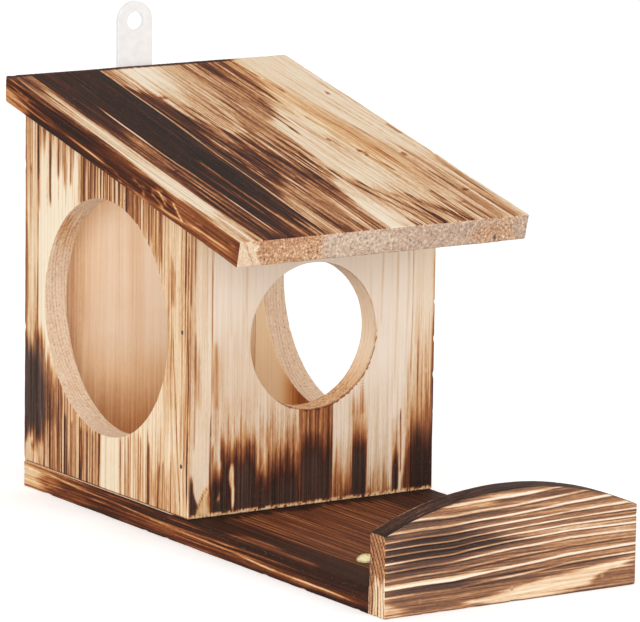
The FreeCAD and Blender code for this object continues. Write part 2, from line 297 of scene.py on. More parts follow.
class Paint:
    """Painted values of the points of one face, by their place across and along the grain.

    burn is how deep the flame has burnt, and where a comment says so it is painted shade. warm turns greyish
    wood into yellow wood, rings is the strength of the growth rings and ring their number, streaks is the
    strength of the fibres, and end is 1 where the fibres end on the face.
    """

    def __init__(self, across, along, seed, burn=0.1, warm=0.4, rings=0.1, ring=None, streaks=1.0, end=0.0):
        self.across, self.along, self.seed = across, along, seed * 10
        if ring is None:
            ring = across / 2.9 + 0.8 * grain_noise(across, along, 9, 500, seed)
        self.values = {"ring": ring}
        start = {"burn": burn, "warm": warm, "rings": rings, "streaks": streaks, "end": end}
        for key, value in start.items():
            self.values[key] = np.full_like(across, value)
        self.wobble = 0.6 * grain_noise(across, along, 30, 35, seed)

    def move(self, of, level, mask, chosen=slice(None)):
        """Bring one of the values nearer to a level, wholly where the mask is 1."""
        values = self.values[of]
        values[chosen] += (level - values[chosen]) * mask
        return self

    def streaky(self, width, length, chosen=slice(None)):
        """New noise in coarse and fine streaks."""
        self.seed += 1
        across, along = self.across[chosen], self.along[chosen]
        streaks = grain_noise(across, along, 1.7 * width, length, self.seed)
        return streaks + 0.5 * grain_noise(across, along, width, length / 2, self.seed + 500)

    def near(self, low, high, start, end, margin):
        """Numbers of the points inside a box with a margin."""
        inside = (self.across > low - margin) & (self.across < high + margin)
        return np.flatnonzero(inside & (self.along > start) & (self.along < end))

    def band(self, level, rows, soft=1.0, fray=1.5, tip=12.0, of="burn"):
        """Stretch of the face. Rows list along, low side and high side. Fray and tip roughen its rim."""
        rows = np.reshape(rows, (-1, 3)).astype(float)
        reach = soft + 1.5 * fray + 1
        ends = rows[0, 0] - 2 * tip, rows[-1, 0] + 2 * tip
        chosen = self.near(rows[:, 1].min(), rows[:, 2].max(), *ends, reach)
        across, along = (self.across + self.wobble)[chosen], self.along[chosen]
        low = np.interp(along, rows[:, 0], rows[:, 1])
        high = np.interp(along, rows[:, 0], rows[:, 2])
        inside = np.minimum(across - low, high - across) + fray * self.streaky(1.3, 50, chosen)
        lengthwise = np.minimum(along - rows[0, 0], rows[-1, 0] - along)
        lengthwise += tip * self.streaky(1.5, 900, chosen)
        mask = smooth(inside, -soft, soft) * smooth(lengthwise, -0.5 * tip, 0.5 * tip)
        return self.move(of, level, mask, chosen)

    def line(self, level, rows, width=0.5, uneven=0.5):
        """Thin line. Rows list along and across in turn."""
        rows = np.reshape(rows, (-1, 2)).astype(float)
        sides = rows[:, 1].min(), rows[:, 1].max()
        chosen = self.near(*sides, rows[0, 0], rows[-1, 0], 3 * width + 1)
        along = self.along[chosen]
        away = (self.across + self.wobble)[chosen] - np.interp(along, rows[:, 0], rows[:, 1])
        ends = np.minimum(along - rows[0, 0], rows[-1, 0] - along)
        length = 0.12 * (rows[-1, 0] - rows[0, 0])
        self.seed += 1
        strength = 1 - uneven * (0.5 + grain_noise(along * 0, along, 1, 14, self.seed))
        mask = np.clip(strength, 0, 1) * np.exp(-((away / width) ** 2)) * smooth(ends, 0, length)
        return self.move("burn", level, mask, chosen)

    def tongue(self, level, low, high, height, feather=8.0, soft=0.8, upward=True):
        """Tongue of a flame that rises between two sides to a feathered tip."""
        ends = (-999, height + 3 * feather) if upward else (height - 3 * feather, 999)
        chosen = self.near(low, high, *ends, soft + 2)
        across = (self.across + 0.5 * self.wobble)[chosen]
        inside = np.minimum(across - low, high - across) + 0.6 * self.streaky(1.4, 60, chosen)
        depth = (height - self.along[chosen]) * (1 if upward else -1)
        depth += 0.6 * feather * self.streaky(1.2, 300, chosen)
        mask = smooth(inside, -soft, soft) * smooth(depth, -feather, feather)
        return self.move("burn", level, mask, chosen)

    def blot(self, level, centre, size, rough=0.35, of="burn"):
        """Spot with an uneven rim."""
        self.seed += 1
        reach = 2 * size[1]
        chosen = self.near(centre[0], centre[0], centre[1] - reach, centre[1] + reach, 2 * size[0])
        across, along = self.across[chosen], self.along[chosen]
        away = np.hypot((across - centre[0]) / size[0], (along - centre[1]) / size[1])
        length = 6 - 4.4 * self.values["end"][chosen]
        away += rough * grain_noise(across, along, 1.5, length, self.seed)
        return self.move(of, level, smooth(-away, -1.2, -0.6), chosen)

    def hairs(self, level, low, high, root, tip, count, width=0.45, least=0.3, slope=0.0):
        """Fine streaks that taper off from root to tip. Dark ones never lighten the wood."""
        self.seed += 1
        chance = np.random.default_rng(self.seed)
        for _ in range(count):
            start = root + chance.uniform(0, 1 - least) * (tip - root) * (least < 0.25)
            middle, reach = chance.uniform(low, high), chance.uniform(least, 1) * (tip - root)
            reach = min(reach, tip - start) if tip > root else max(reach, tip - start)
            depth, thick = chance.uniform(0.4, 1), width * chance.uniform(0.6, 1.4)
            bend = slope * reach
            ends = sorted((start, start + reach))
            sides = sorted((middle, middle + bend))
            chosen = self.near(*sides, *ends, 2 * thick + 1)
            share = (self.along[chosen] - start) / reach
            away = (self.across + self.wobble)[chosen] - middle - bend * share
            mask = depth * np.exp(-((away / (thick * (1.2 - share))) ** 2))
            mask *= smooth(-share, -1, -0.45) * smooth(share, 0, 0.06 if least >= 0.25 else 0.4)
            goal = np.maximum(level, self.values["burn"][chosen]) if level > 0.4 else level
            self.move("burn", goal, mask, chosen)
        return self

    def mottled(self, amount, width=6.0, length=60.0):
        """Lighter and darker streaks along the grain."""
        self.values["burn"] = np.clip(self.values["burn"] + amount * self.streaky(width, length), 0, 1)
        return self

    def strokes(self, bands=(), lines=(), tongues=(), blots=(), hairs=()):
        """Strokes from tables, each kind over the kinds before it."""
        kinds = ((self.band, bands), (self.tongue, tongues), (self.hairs, hairs))
        for draw, table in (*kinds, (self.line, lines), (self.blot, blots)):
            for stroke in table:
                draw(*stroke)
        return self


def end_grain(first, second, seed, pith=(0, -60), spacing=1.9, **start):
    """Paint of a face where the fibres end, with rings round a pith."""
    ring = np.hypot(first - pith[0], second - pith[1]) / spacing
    ring += 0.35 * grain_noise(first, second, 9, 9, seed)
    return Paint(first, second, seed, ring=ring, end=1.0, **start)


# Each row in the tables of strokes holds what one stroke's method in Paint is called with

# Roof: across is x and along is the distance from the front edge up the slope

ROOF_FRONT_Y = BOX_FRONT - ROOF_OVERHANG * COS
ROOF_FRONT_Z = roof_underside(ROOF_FRONT_Y)
ROOF_FRONT_EDGE = np.array([0, ROOF_FRONT_Y, ROOF_FRONT_Z])
ROOF_TOP_BANDS = (
    (0.32, (-20, -80, -64, 50, -80, -65, 120, -80, -65, 160, -80, -63, 230, -80, -62), 1, 1),
    (0.4, (165, -80, -62, 240, -80, -61), 1.5, 3.5, 24),
    (0.08, (34, -75, -66, 60, -75, -66, 112, -75, -67), 1.5, 1.5, 14),
    (0.16, (-30, -76, -65, 26, -76, -65), 1.5, 2, 10),
    (0.14, (104, -74, -66.5, 150, -73.5, -65.5, 186, -72, -66), 1.5, 1.5, 14),
    (0.7, (70, -80, -74, 110, -80, -72.5, 230, -80, -71), 1, 1.5, 24),
    (0.74, (-20, -63.5, -53, 50, -65, -54, 130, -65, -54, 230, -62, -52), 0.6, 0.8),
    (0.62, (30, -61, -57, 120, -61, -56), 1.5, 3, 20), (0.5, (168, -62.5, -60, 196, -62.5, -59), 1, 2, 8),
    (0.88, (138, -64, -52, 230, -62, -50), 1.5, 2, 24), (0.75, (-20, -53, -30, 40, -53, -30), 0.5, 0.6),
    (0.5, (-20, -38, -30.5, 24, -37, -30.5), 2, 2, 14),
    (0.9, (22, -42, -30, 60, -42, -29, 120, -42, -29), 1.2, 1.5, 14),
    (0.91, (20, -53.5, -41, 120, -53.5, -41), 1, 2, 20),
    (0.96, (56, -42, -29.3, 110, -42, -28.3, 230, -43, -27.3), 0.8, 0.5, 14),
    (0.92, (92, -53, -28.5, 150, -53, -28, 230, -52, -27), 0.8, 1, 14),
    (0.4, (-20, -30, 1, 46, -29, 1, 62, -29, 4), 1.5, 3, 16),
    (0.3, (-20, -29, -25, 46, -28.5, -24), 1, 1.5, 10),
    (0.52, (44, -29, 4, 70, -29, 11, 92, -29, 14, 112, -29, 12, 124, -29, -6), 1.6, 4.5, 20),
    (0.78, (54, -28, -16, 104, -28, -15), 1.5, 2, 10), (0.58, (58, -12, 1, 92, -11, 2), 2, 4, 24),
    (0.58, (66, 2, 12, 92, 3, 13), 2, 4, 20), (0.58, (72, 0, 14, 120, -2, 15), 2, 3, 14),
    (0.78, (112, -29, -18, 150, -28, -18, 180, -28, -20), 1, 1.5, 8),
    (0.34, (176, -27, -20, 230, -27, -21), 1, 1.5, 12), (0.72, (106, -19, -5, 126, -18, -7), 1.5, 3, 10),
    (0.52, (98, 4, 17, 122, 6, 20), 1.5, 3, 10), (0.28, (118, -17, -1, 166, -17, 2), 1.5, 3, 14),
    (0.03, (168, -19, -5, 182, -19, -1, 230, -19, 1), 2.5, 3, 24),
    (0.42, (96, -1, 15, 116, 0, 19, 140, 3, 27, 160, 5, 37, 182, 8, 42, 230, 10, 43), 1.8, 5.5, 8),
    (0.5, (156, 25, 36, 180, 25, 41, 230, 28, 42), 1.5, 4, 12),
    (0.36, (176, 13, 22, 216, 12, 20), 1.5, 4, 12), (0.26, (150, 5, 12, 230, 9, 16), 1.5, 4, 12),
    (0.03, (-10, 3, 17, 20, 3, 15, 38, 4, 12), 1.5, 1.5, 12),
    (0.1, (58, 13, 38, 90, 14, 44, 128, 20, 46, 142, 28, 42), 3, 3.5, 14),
    (0.5, (-20, 33, 46, 4, 32, 45, 26, 31, 39), 1.5, 3.5, 12),
    (0.24, (20, 50, 62, 90, 46, 60, 150, 40, 56), 3, 3, 16),
    (0.3, (-20, 52, 72, 34, 52, 68, 60, 54, 66), 2.5, 3.5, 12),
    (0.09, (80, 60, 80, 150, 52, 80, 230, 46, 80), 4, 3, 14), (0.24, (58, 34, 46, 112, 33, 46), 3, 2.5, 12),
)
ROOF_TOP_TONGUES = (
    (0.22, 9, 15, 64, 12, 1.5), (0.26, 15, 22, 50, 10, 1.5), (0.32, 22, 31, 42, 12, 1.5),
    (0.3, 31, 46, 30, 12, 1.5), (0.22, 44, 56, 40, 12, 1.5),
)
ROOF_TOP_LINES = (
    (0.1, (130, -73.6, 208, -72.2), 0.5), (0.92, (120, -75, 208, -73.6), 0.7),
    (0.86, (0, -62.6, 60, -63.4), 0.6), (0.3, (0, -55.2, 60, -56, 130, -56.5), 0.5),
    (-0.1, (0, -52.8, 100, -53.6, 150, -53.6, 170, -53.2), 0.45, 0.3), (0.94, (0, -52, 150, -52.6), 0.5),
    (0.3, (0, -41.6, 60, -42.2, 100, -42), 0.5, 0.3), (0.7, (100, -42, 160, -41.4), 0.4, 0.9),
    (0.74, (140, -48, 206, -46), 0.35, 0.8), (0.76, (110, -36, 196, -33.6), 0.35, 0.8),
    (0.05, (0, -31, 50, -29.8, 120, -28.4, 206, -27.2), 0.45, 0.2),
    (0.05, (-4, 12.5, 12, 12, 32, 9.5), 3.2, 0.3), (0.98, (0, -32, 66, -30.6), 0.5),
    (0.98, (90, -30.6, 190, -29.2), 0.6), (0.72, (44, 2.6, 70, -0.6, 100, -3), 0.7),
    (0.78, (4, -10, 40, -12), 0.5), (0.7, (10, -21, 60, -25), 0.5),
    (0.08, (0, -8.6, 50, -11, 75, -13.5), 0.6), (0.85, (162, 46.6, 182, 45.6), 0.7),
    (0.7, (182, 45.6, 206, 43.4), 0.5), (0.7, (164, 35.2, 190, 35), 0.6), (0.78, (2, 33, 42, 26), 0.7),
    (0.85, (2, 43, 40, 31.5), 0.8), (0.85, (0, 40, 32, 32.5), 0.7), (0.8, (0, 46, 24, 38), 0.6),
    (0.7, (2, 24, 60, 13), 0.6), (0.72, (4, 29, 60, 17), 0.6), (0.1, (0, 34, 36, 29), 0.5),
    (0.8, (62, 43.5, 92, 41), 0.55), (0.45, (44, 46.5, 64, 43.6), 0.5), (0.8, (26, 46.6, 40, 46.2), 0.6),
    (0.7, (2, 51.6, 30, 50), 0.5), (0.42, (60, 52, 110, 49.5, 150, 44), 0.8),
    (0.4, (60, 59, 100, 57.4, 150, 52), 0.6), (0.5, (38, 60.6, 62, 59.2), 0.5), (0.62, (0, 68, 32, 67), 0.6),
    (0.42, (40, 66.8, 92, 62.4), 0.5), (0.45, (96, 43, 136, 38.6), 0.5), (0.5, (104, 73, 118, 73), 0.8),
    (0.35, (110, 0, 150, -3), 0.5), (0.62, (126, -7, 160, -12), 0.6), (0.66, (130, -13, 160, -16), 0.6),
    (0.7, (140, 27.5, 160, 30), 0.6),
)
ROOF_TOP_HAIRS = (
    (0.9, -27, -15, 174, 100, 18, 0.7, 0.2, -0.01), (0.92, -27, 0, 124, 52, 34, 0.6, 0.2, -0.01),
    (0.86, -27, 14, 128, 50, 40, 0.4, 0.15, -0.03), (0.26, -25, 12, 128, 60, 22, 0.35, 0.15, -0.03),
    (0.84, 0, 15, 118, 56, 18, 0.7, 0.2, -0.03), (0.72, -20, 30, 168, 110, 22, 0.6, 0.2, -0.03),
    (0.74, 14, 40, 206, 140, 22, 0.6, 0.3, -0.04), (0.66, -24, 0, 2, 50, 14, 0.6, 0.3, -0.01),
    (0.78, 8, 48, 0, 44, 16, 0.6, 0.3, -0.07), (0.1, -26, 12, 150, 40, 26, 0.5, 0.2, -0.01),
    (0.2, 10, 36, 200, 120, 12, 0.5, 0.2, -0.04), (0.3, 40, 60, 206, 60, 16, 0.5, 0.2, -0.06),
    (0.4, 44, 70, 0, 70, 20, 0.6, 0.3, -0.06), (0.62, -76, -64, 206, 130, 10, 0.6, 0.3),
    (0.88, -64, -54, 0, 120, 16, 0.6, 0.2), (0.38, -64, -54, 0, 120, 6, 0.4, 0.2),
    (0.36, -53, -43, 0, 90, 6, 0.35, 0.2), (0.36, -42, -30, 0, 60, 5, 0.35, 0.3),
    (0.8, -50, -32, 206, 30, 22, 0.8, 0.2), (0.36, 56, 74, 206, 20, 18, 0.5, 0.2, -0.06),
    (0.34, 16, 40, 140, 60, 8, 0.5, 0.2, -0.05), (0.4, -74, -66, 0, 40, 8, 0.6, 0.3),
    (0.84, -53, -30, 206, 120, 16, 0.6, 0.2),
)
ROOF_TOP_BLOTS = (
    (0.72, (-16, 168), (1.7, 2.6)), (0.62, (40.5, 87), (2.8, 3.4)), (0.25, (40.2, 86.4), (1.4, 1.8)),
    (0.6, (33.5, 104), (0.8, 1.6)), (0.6, (67, 158), (0.9, 2)), (0.62, (63, 36.6), (2.6, 1.2)),
    (0.5, (52, 24), (2.8, 1)), (0.5, (59, 81.4), (2, 2.6)),
)
# Left edge of the roof: across is the height in the board
ROOF_SIDE_BANDS = (
    (0.64, (-10, -1, 13, 96, -1, 13), 1, 0.5, 20), (0.78, (60, 5, 12, 100, 4, 12, 185, 6, 12), 1, 0.8, 20),
    (0.86, (80, -1, 4.4, 190, -1, 4.4), 1, 0.8, 20), (0.92, (122, -1, 13, 190, -1, 13), 1, 0.5, 14),
    (0.46, (34, 3, 11, 50, 3, 11), 1.5, 1, 6), (0.36, (186, -1, 5.6, 215, -1, 7), 0.8, 0.5, 8),
    (0.6, (0, 6, 12, 60, 6, 12), 1, 0.8, 20),
)
ROOF_SIDE_LINES = (
    (0.08, (-4, 5.2, 30, 4.8, 55, 2.8, 85, 2, 100, 3.2, 125, 4.6, 160, 5.2), 0.6, 0.3),
    (0.45, (-4, 3.6, 34, 3.2, 70, 0.9, 92, 0.8), 0.4), (0.34, (110, 5.4, 150, 6.4, 208, 7.4), 0.45, 0.9),
    (0.25, (112, 11.7, 208, 11.7), 0.5), (0.3, (2, 8.4, 22, 7.4), 0.5, 1),
    (0.45, (2, 11.6, 100, 11.6), 0.5, 1.2),
)
ROOF_SIDE_SCRATCH_LINES = (
    (0.2, (64, 10.6, 70, 8.4, 74, 7.6), 0.7, 0.9), (0.22, (68, 11.6, 71, 9, 73, 8.6), 0.6, 0.9),
    (0.3, (60, 7.4, 68, 8.6), 0.5, 0.9), (0.1, (46, 3, 56, 8.6), 0.6, 0.2),
    (0.12, (60, 5, 70, 9.8), 0.6, 0.2), (0.34, (38, 9.6, 41, 7), 0.4, 0.7), (0.34, (30, 8, 36, 7), 0.4, 0.7),
    (0.34, (78, 7, 92, 6), 0.4, 0.9), (0.4, (190, 9.6, 194, 7.4), 0.5, 0.7),
    (0.42, (184, 9, 187, 7.2), 0.5, 0.7),
)
ROOF_UNDERSIDE_BANDS = (
    (0.55, (-20, -80, 80, 6, -80, 80), 4, 2, 10), (0.5, (0, -80, -71, 206, -80, -72), 3, 3, 30),
    (0.45, (0, 71, 80, 206, 72, 80), 3, 3, 30),
)
# Front end of the roof: blots are at x and the height in the board
ROOF_END_BLOTS = (
    (0.36, (-53, 6), (15, 9), 0.9), (0.34, (-40, 4), (9, 6), 1.2), (0.4, (-62, 9), (9, 4), 0.9),
    (0.12, (-71, 6), (5, 8), 0.5), (0.27, (-14, 6), (18, 8), 0.9), (0.34, (57, 4), (10, 8), 0.5),
    (1, (58, 2.6), (1, 1.1), 0.4), (0.32, (72, 5), (1.2, 6), 0.4),
)


def paint_roof(face, p):
    from_front = p - ROOF_FRONT_EDGE
    across, along, through = p[:, 0], from_front @ ALONG_ROOF, from_front @ OUT_OF_ROOF
    lean = np.clip((across + 25) / 75, 0, 1.3)
    ring = (across - lean * (206 - along) * 0.055) / 2.4 + 0.9 * grain_noise(across, along, 7, 400, 9)
    if face == "c1":
        along = along + BOARD * TAN
        paint = Paint(across, along, 1, burn=0.19, warm=0.45, rings=0.04, ring=ring, streaks=1.2)
        paint.mottled(0.06, 5, 90)
        paint.strokes(ROOF_TOP_BANDS, ROOF_TOP_LINES, ROOF_TOP_TONGUES, ROOF_TOP_BLOTS, ROOF_TOP_HAIRS)
        burn = paint.values["burn"]
        scorched = smooth(burn, 0.30, 0.6)
        paint.move("streaks", 1.7, scorched * smooth(-burn, -0.9, -0.7))
        golden = smooth(-np.abs(across - 52 + 0.06 * along), -12, -4) * smooth(along, 40, 80)
        paint.move("warm", 0.9, golden).move("streaks", 0.7, smooth(across, 30, 50) * smooth(along, 50, 90))
        paint.move("warm", 0.9, scorched * smooth(-across, 20, 40))
        paint.move("warm", 0.86, scorched * smooth(across, -28, -26))
        # Painted shade: a thin dark line along the top's front edge.
        front = smooth(-along, -1.3, -0.2) * smooth(across, -64, -60)
        paint.move("burn", 0.80, front * smooth(-across, -75, -70))
        return paint.move("burn", 0.85, smooth(along, 205.4, 206.6) * smooth(-across, -50, -40)).values
    if face == "a0":
        paint = Paint(through, along, 2, burn=0.74, warm=1.0, rings=0.0, streaks=0.6)
        paint.mottled(0.08, 2, 14).strokes(ROOF_SIDE_BANDS, ROOF_SIDE_LINES)
        paint.hairs(0.38, 0, 12, 0, 206, 26, 0.3, 0.05).hairs(0.92, 0, 12, 0, 206, 30, 0.4, 0.05)
        flecks = smooth(grain_noise(through, along, 0.9, 4, 19), 0.25, 0.7)
        flecks *= smooth(-np.abs(along - 82), -44, -8)
        paint.move("burn", 0.22, 0.8 * flecks * smooth(-through, -9.5, -5))
        return paint.strokes(lines=ROOF_SIDE_SCRATCH_LINES).values
    if face == "a1":
        return Paint(through, along, 3, burn=0.42, warm=0.6, rings=0.2).mottled(0.3, 3, 45).values
    if face == "b0":
        paint = end_grain(across, through, 4, (58, 2.6), 1.7, burn=0.36, warm=0.10, rings=0.10)
        paint.move("rings", 0.02, smooth(-across, -46, -36))
        paint.strokes(blots=ROOF_END_BLOTS)
        paint.move("warm", 0.7, smooth(-across, 31, 34))
        paint.blot(0.55, (57, 4), (12, 9), 0.5, "warm")
        corner = -(across + 0.55 * through)
        for key, value in (("burn", 0.16), ("warm", 0.3), ("end", 0.3)):
            paint.move(key, value, smooth(corner, 62.6, 63.4))
        return paint.move("burn", 0.46, 0.8 * np.exp(-(((corner - 66.6) / 0.4) ** 2))).values
    if face == "b1":
        return end_grain(across, through, 5, (58, 2.6), 1.7, burn=0.3, rings=0.14).mottled(0.3, 12, 12).values
    paint = Paint(across, along, 6, burn=0.12, warm=0.4, rings=0.10, ring=ring).mottled(0.10, 7, 90)
    return paint.strokes(ROOF_UNDERSIDE_BANDS).values


# Side walls: across is y and along is z

LEFT_BANDS = (
    (0.13, (10, 137, 152, 200, 137, 152), 1, 1), (0.34, (62, 134, 140, 96, 137, 140), 1.5, 3, 14),
    (0.4, (62, 146, 152, 120, 147, 152), 1, 2, 16), (0.22, (62, 140, 147, 90, 140, 147), 1.5, 3, 14),
    (0.26, (164, 100, 138, 200, 98, 138), 2, 1, 14),
    (0, (62, 100, 137, 110, 112, 138, 156, 100, 138), 2, 2, 10),
    (0.3, (130, 83, 100, 200, 83, 100), 1.5, 2, 6), (0.22, (130, 62, 83, 200, 62, 83), 1.5, 2, 6),
    (0.6, (134, 58, 62, 200, 58, 62), 0.6, 1, 10), (0.44, (128, 50, 58, 200, 50, 58), 1, 1, 8),
    (0.2, (112, 27, 50, 200, 27, 50), 1.5, 1.5, 10), (0.18, (44, 5, 28, 200, 5, 28), 2, 1.5, 16),
    (0.38, (104, 18, 22.5, 128, 19, 23), 1.2, 1.5, 5), (0.38, (4, 118, 137, 56, 124, 137), 2, 3, 12),
    (0.26, (4, 98, 124, 52, 98, 124), 2, 3, 10), (0.42, (32, 116, 128, 58, 116, 130), 2, 3, 10),
    (0.55, (56, 128, 138, 84, 134, 138), 2, 3, 12),
    (0.54, (22, 132, 152, 36, 125, 152, 56, 127, 152, 74, 138, 152), 4, 1.5, 10),
    (0.84, (26, 134, 152, 36, 128, 152, 50, 130, 152, 66, 139, 152), 5, 1.2, 8),
    (0, (28, 136, 152, 38, 129, 152, 58, 129, 152, 70, 138, 152), 3, 2, 9, "warm"),
    (0.2, (6, 139, 152, 20, 141, 152), 1.5, 1.5, 5), (0.26, (6, 129, 139, 20, 131, 139), 1.5, 2, 6),
    (0.28, (4, 82, 98, 42, 82, 98), 1.5, 2.5, 8), (0.04, (4, 64, 82, 42, 64, 82), 1, 1, 8),
    (0.09, (4, 40, 64, 48, 40, 64), 1.5, 2, 8), (0.28, (4, 28, 41, 36, 30, 41), 1.5, 2, 10),
    (0.24, (4, 12, 28, 34, 16, 26), 2.5, 2.5, 12),
)
LEFT_RING_BANDS = (
    (0.4, (126, 60, 100, 200, 60, 100), 1.5, 1, 4, "rings"),
    (0.26, (116, 27, 50, 200, 27, 50), 1.5, 1, 6, "rings"),
    (0.34, (4, 82, 130, 52, 82, 130), 1.5, 1, 6, "rings"),
    (0.26, (4, 27, 64, 46, 27, 64), 1.5, 1, 6, "rings"), (0.12, (4, 64, 82, 46, 64, 82), 1, 0.5, 6, "rings"),
)
LEFT_HAIRS = (
    (0.84, 101, 138, 186, 128, 15, 0.4, 0.3), (0.5, 101, 138, 184, 128, 12, 0.35, 0.15),
    (0.5, 138, 150, 182, 90, 9, 0.5, 0.3), (0.66, 62, 100, 176, 130, 22, 0.45, 0.4),
    (0.62, 28, 60, 172, 112, 20, 0.45, 0.4), (0.32, 9, 28, 160, 60, 14, 0.45, 0.2),
    (0.7, 84, 136, 6, 52, 26, 0.45, 0.3), (0.46, 28, 64, 6, 54, 9, 0.4, 0.3),
    (0.36, 10, 28, 6, 48, 12, 0.45, 0.3), (0.1, 84, 136, 6, 56, 14, 0.5, 0.3),
    (0.06, 28, 100, 176, 120, 16, 0.45, 0.3),
)
LEFT_LINES = (
    (0.8, (10, 149.6, 190, 149.6), 0.9, 0.3), (0.85, (62, 138, 134, 138), 0.4, 0.6),
    (0.85, (128, 137.2, 190, 138.4), 1, 0.4), (0.76, (132, 126.6, 190, 128), 0.9, 0.4),
    (0.6, (146, 119.6, 190, 121), 0.9, 0.4), (0.6, (142, 114, 190, 115), 0.7, 0.4),
    (0.66, (144, 108.4, 190, 109), 0.9, 0.4), (0.76, (136, 97.5, 190, 97.5), 0.8, 0.4),
    (0.72, (138, 91.5, 190, 91.5), 0.8, 0.4), (0.72, (140, 87, 190, 87), 0.7, 0.4),
    (0.76, (138, 82.4, 190, 82.4), 0.7, 0.4), (0.7, (140, 78.2, 190, 78.2), 0.5, 0.4),
    (0.7, (140, 74.6, 190, 74.6), 0.5, 0.4), (0.66, (140, 71, 190, 71), 0.5, 0.4),
    (0.7, (140, 66.8, 190, 66.8), 0.6, 0.4), (0.74, (140, 58.6, 190, 58.6), 0.5, 0.4),
    (0.76, (132, 50.6, 190, 50.6), 0.6, 0.4), (0.56, (132, 46, 190, 46), 0.5, 0.4),
    (0.56, (130, 42.6, 190, 42.6), 0.5, 0.4), (0.68, (128, 39, 190, 39), 0.6, 0.4),
    (0.66, (122, 35.4, 190, 35.4), 0.5, 0.4), (0.8, (118, 30.2, 190, 30.8), 0.8, 0.4),
    (0.56, (120, 33, 190, 33), 0.5, 0.2), (0.5, (10, 12, 40, 15, 80, 19, 98, 20), 0.5),
    (0.42, (10, 9, 50, 12, 130, 13, 150, 12), 0.5), (0.4, (10, 16, 40, 19, 70, 21.5), 0.5),
    (0.8, (4, 126.6, 50, 127), 0.8, 0.3), (0.76, (4, 119.4, 46, 119.4), 0.8, 0.3),
    (0.8, (4, 112.6, 42, 112.6), 0.8, 0.3), (0.7, (4, 106.6, 40, 106.6), 0.7, 0.3),
    (0.85, (4, 98.6, 38, 98.6), 1, 0.4), (0.7, (4, 92.6, 38, 93), 0.8, 0.3),
    (0.7, (4, 87.6, 38, 88), 0.7, 0.3), (0.82, (4, 82.4, 40, 82), 0.7, 0.4),
    (0.6, (4, 64, 40, 64.2), 0.6, 0.3), (0.5, (4, 57, 42, 57), 0.6, 0.3),
    (0.5, (4, 50.6, 44, 50.6), 0.6, 0.3), (0.5, (4, 46.4, 44, 46.4), 0.6, 0.3),
    (0.76, (4, 39.4, 42, 39), 0.7, 0.4), (0.66, (4, 32, 34, 30), 0.6, 0.3),
    (0.66, (4, 28.4, 36, 27), 0.6, 0.3), (0.7, (10, 7.2, 155, 6.9), 0.7, 0.5),
    (0.82, (110, 9.2, 160, 9), 0.7, 0.4), (0.5, (30, 9.4, 120, 9.2), 0.5, 0.5),
    (0.1, (10, 8.2, 160, 8), 0.4, 0.5),
)
LEFT_BLOTS = (
    (0.5, (144.5, 150), (1.4, 1.4)), (0.46, (142, 20), (1.6, 1.4)), (0.38, (20, 116), (2.2, 8)),
)
# Front end of the left wall: across is the depth in the wall
LEFT_EDGE_BANDS = (
    (0.13, (4, -1, 13, 160, -1, 13), 1, 0.5),
    (0.84, (4, 0.8, 6, 16, 1, 6, 24, 1.2, 3, 34, 1.6, 2.4), 0.6, 0.6, 6),
    (0.27, (10, 3, 12.2, 15, 4.4, 12.2, 20, 6.6, 12.2, 27, 10, 12.2), 0.5, 0.3, 1),
    (0.36, (58, 2, 5.4, 94, 2.4, 4.8), 1, 1.2, 10), (0.22, (92, 0, 3.4, 150, 0, 3.4), 0.8, 1, 10),
)
LEFT_EDGE_WARM_BANDS = (
    (1, (10, 3, 12.4, 15, 4, 12.4, 20, 6, 12.4, 27, 9, 12.4), 0.5, 0.3, 1, "warm"),
)
LEFT_EDGE_BLOTS = (
    (0.46, (10.6, 19.5), (1.3, 3.6)), (0.22, (7.6, 15), (1.6, 2)),
)
LEFT_EDGE_LINES = (
    (0.9, (104, 1, 160, 0.9), 0.45, 0.3), (0.7, (96, 3, 160, 2.8), 0.4, 0.8),
    (0.1, (96, 2.2, 160, 2), 0.5, 0.3), (0.6, (40, 3, 100, 3.6), 0.5), (0.6, (12, 0.4, 110, 0.5), 0.5),
    (0.9, (10, 11.8, 60, 11.8), 0.4), (0.7, (11, 3, 15, 4.4, 20, 6.8, 26, 10.4), 0.35, 0.6),
)
# The right wall's outside and front end
RIGHT_TONGUES = (
    (0.5, 6, 60, 62, 14), (0.55, 84, 138, 66, 14), (0.9, 6, 24, 34, 10), (0.88, 26, 40, 46, 9),
    (0.8, 52, 70, 24, 8), (0.92, 96, 112, 30, 9), (0.94, 118, 138, 52, 9),
)
RIGHT_EDGE_TONGUES = (
    (0.2, -1, 13, 86, 16), (0.32, -1, 13, 62, 14), (0.56, -1, 13, 47, 9), (0.91, -1, 13, 39, 9),
)
WINDOW_HAIRS = (
    (0.55, 0.5, 9, 18, 56, 9, 0.3, 0.2), (0, 0.5, 9, 18, 56, 6, 0.3, 0.2),
)
RIGHT_EDGE_HAIRS = (
    (0.54, 0, 12, 30, 110, 16, 0.4, 0.3), (0.1, 0, 12, 48, 100, 8, 0.4, 0.1),
)


def crumbled(paint, z):
    """Row of pale crumbs along the lower edge of a board that stands on the base."""
    rough = grain_noise(paint.across, z, 0.9, 0.6, 25)
    crumbs = smooth(0.8 * rough - z, -14.1, -13.2)
    return paint.move("burn", 0.18 + 0.6 * smooth(-rough, 0.0, 0.6), crumbs).move("warm", 0.8, crumbs)


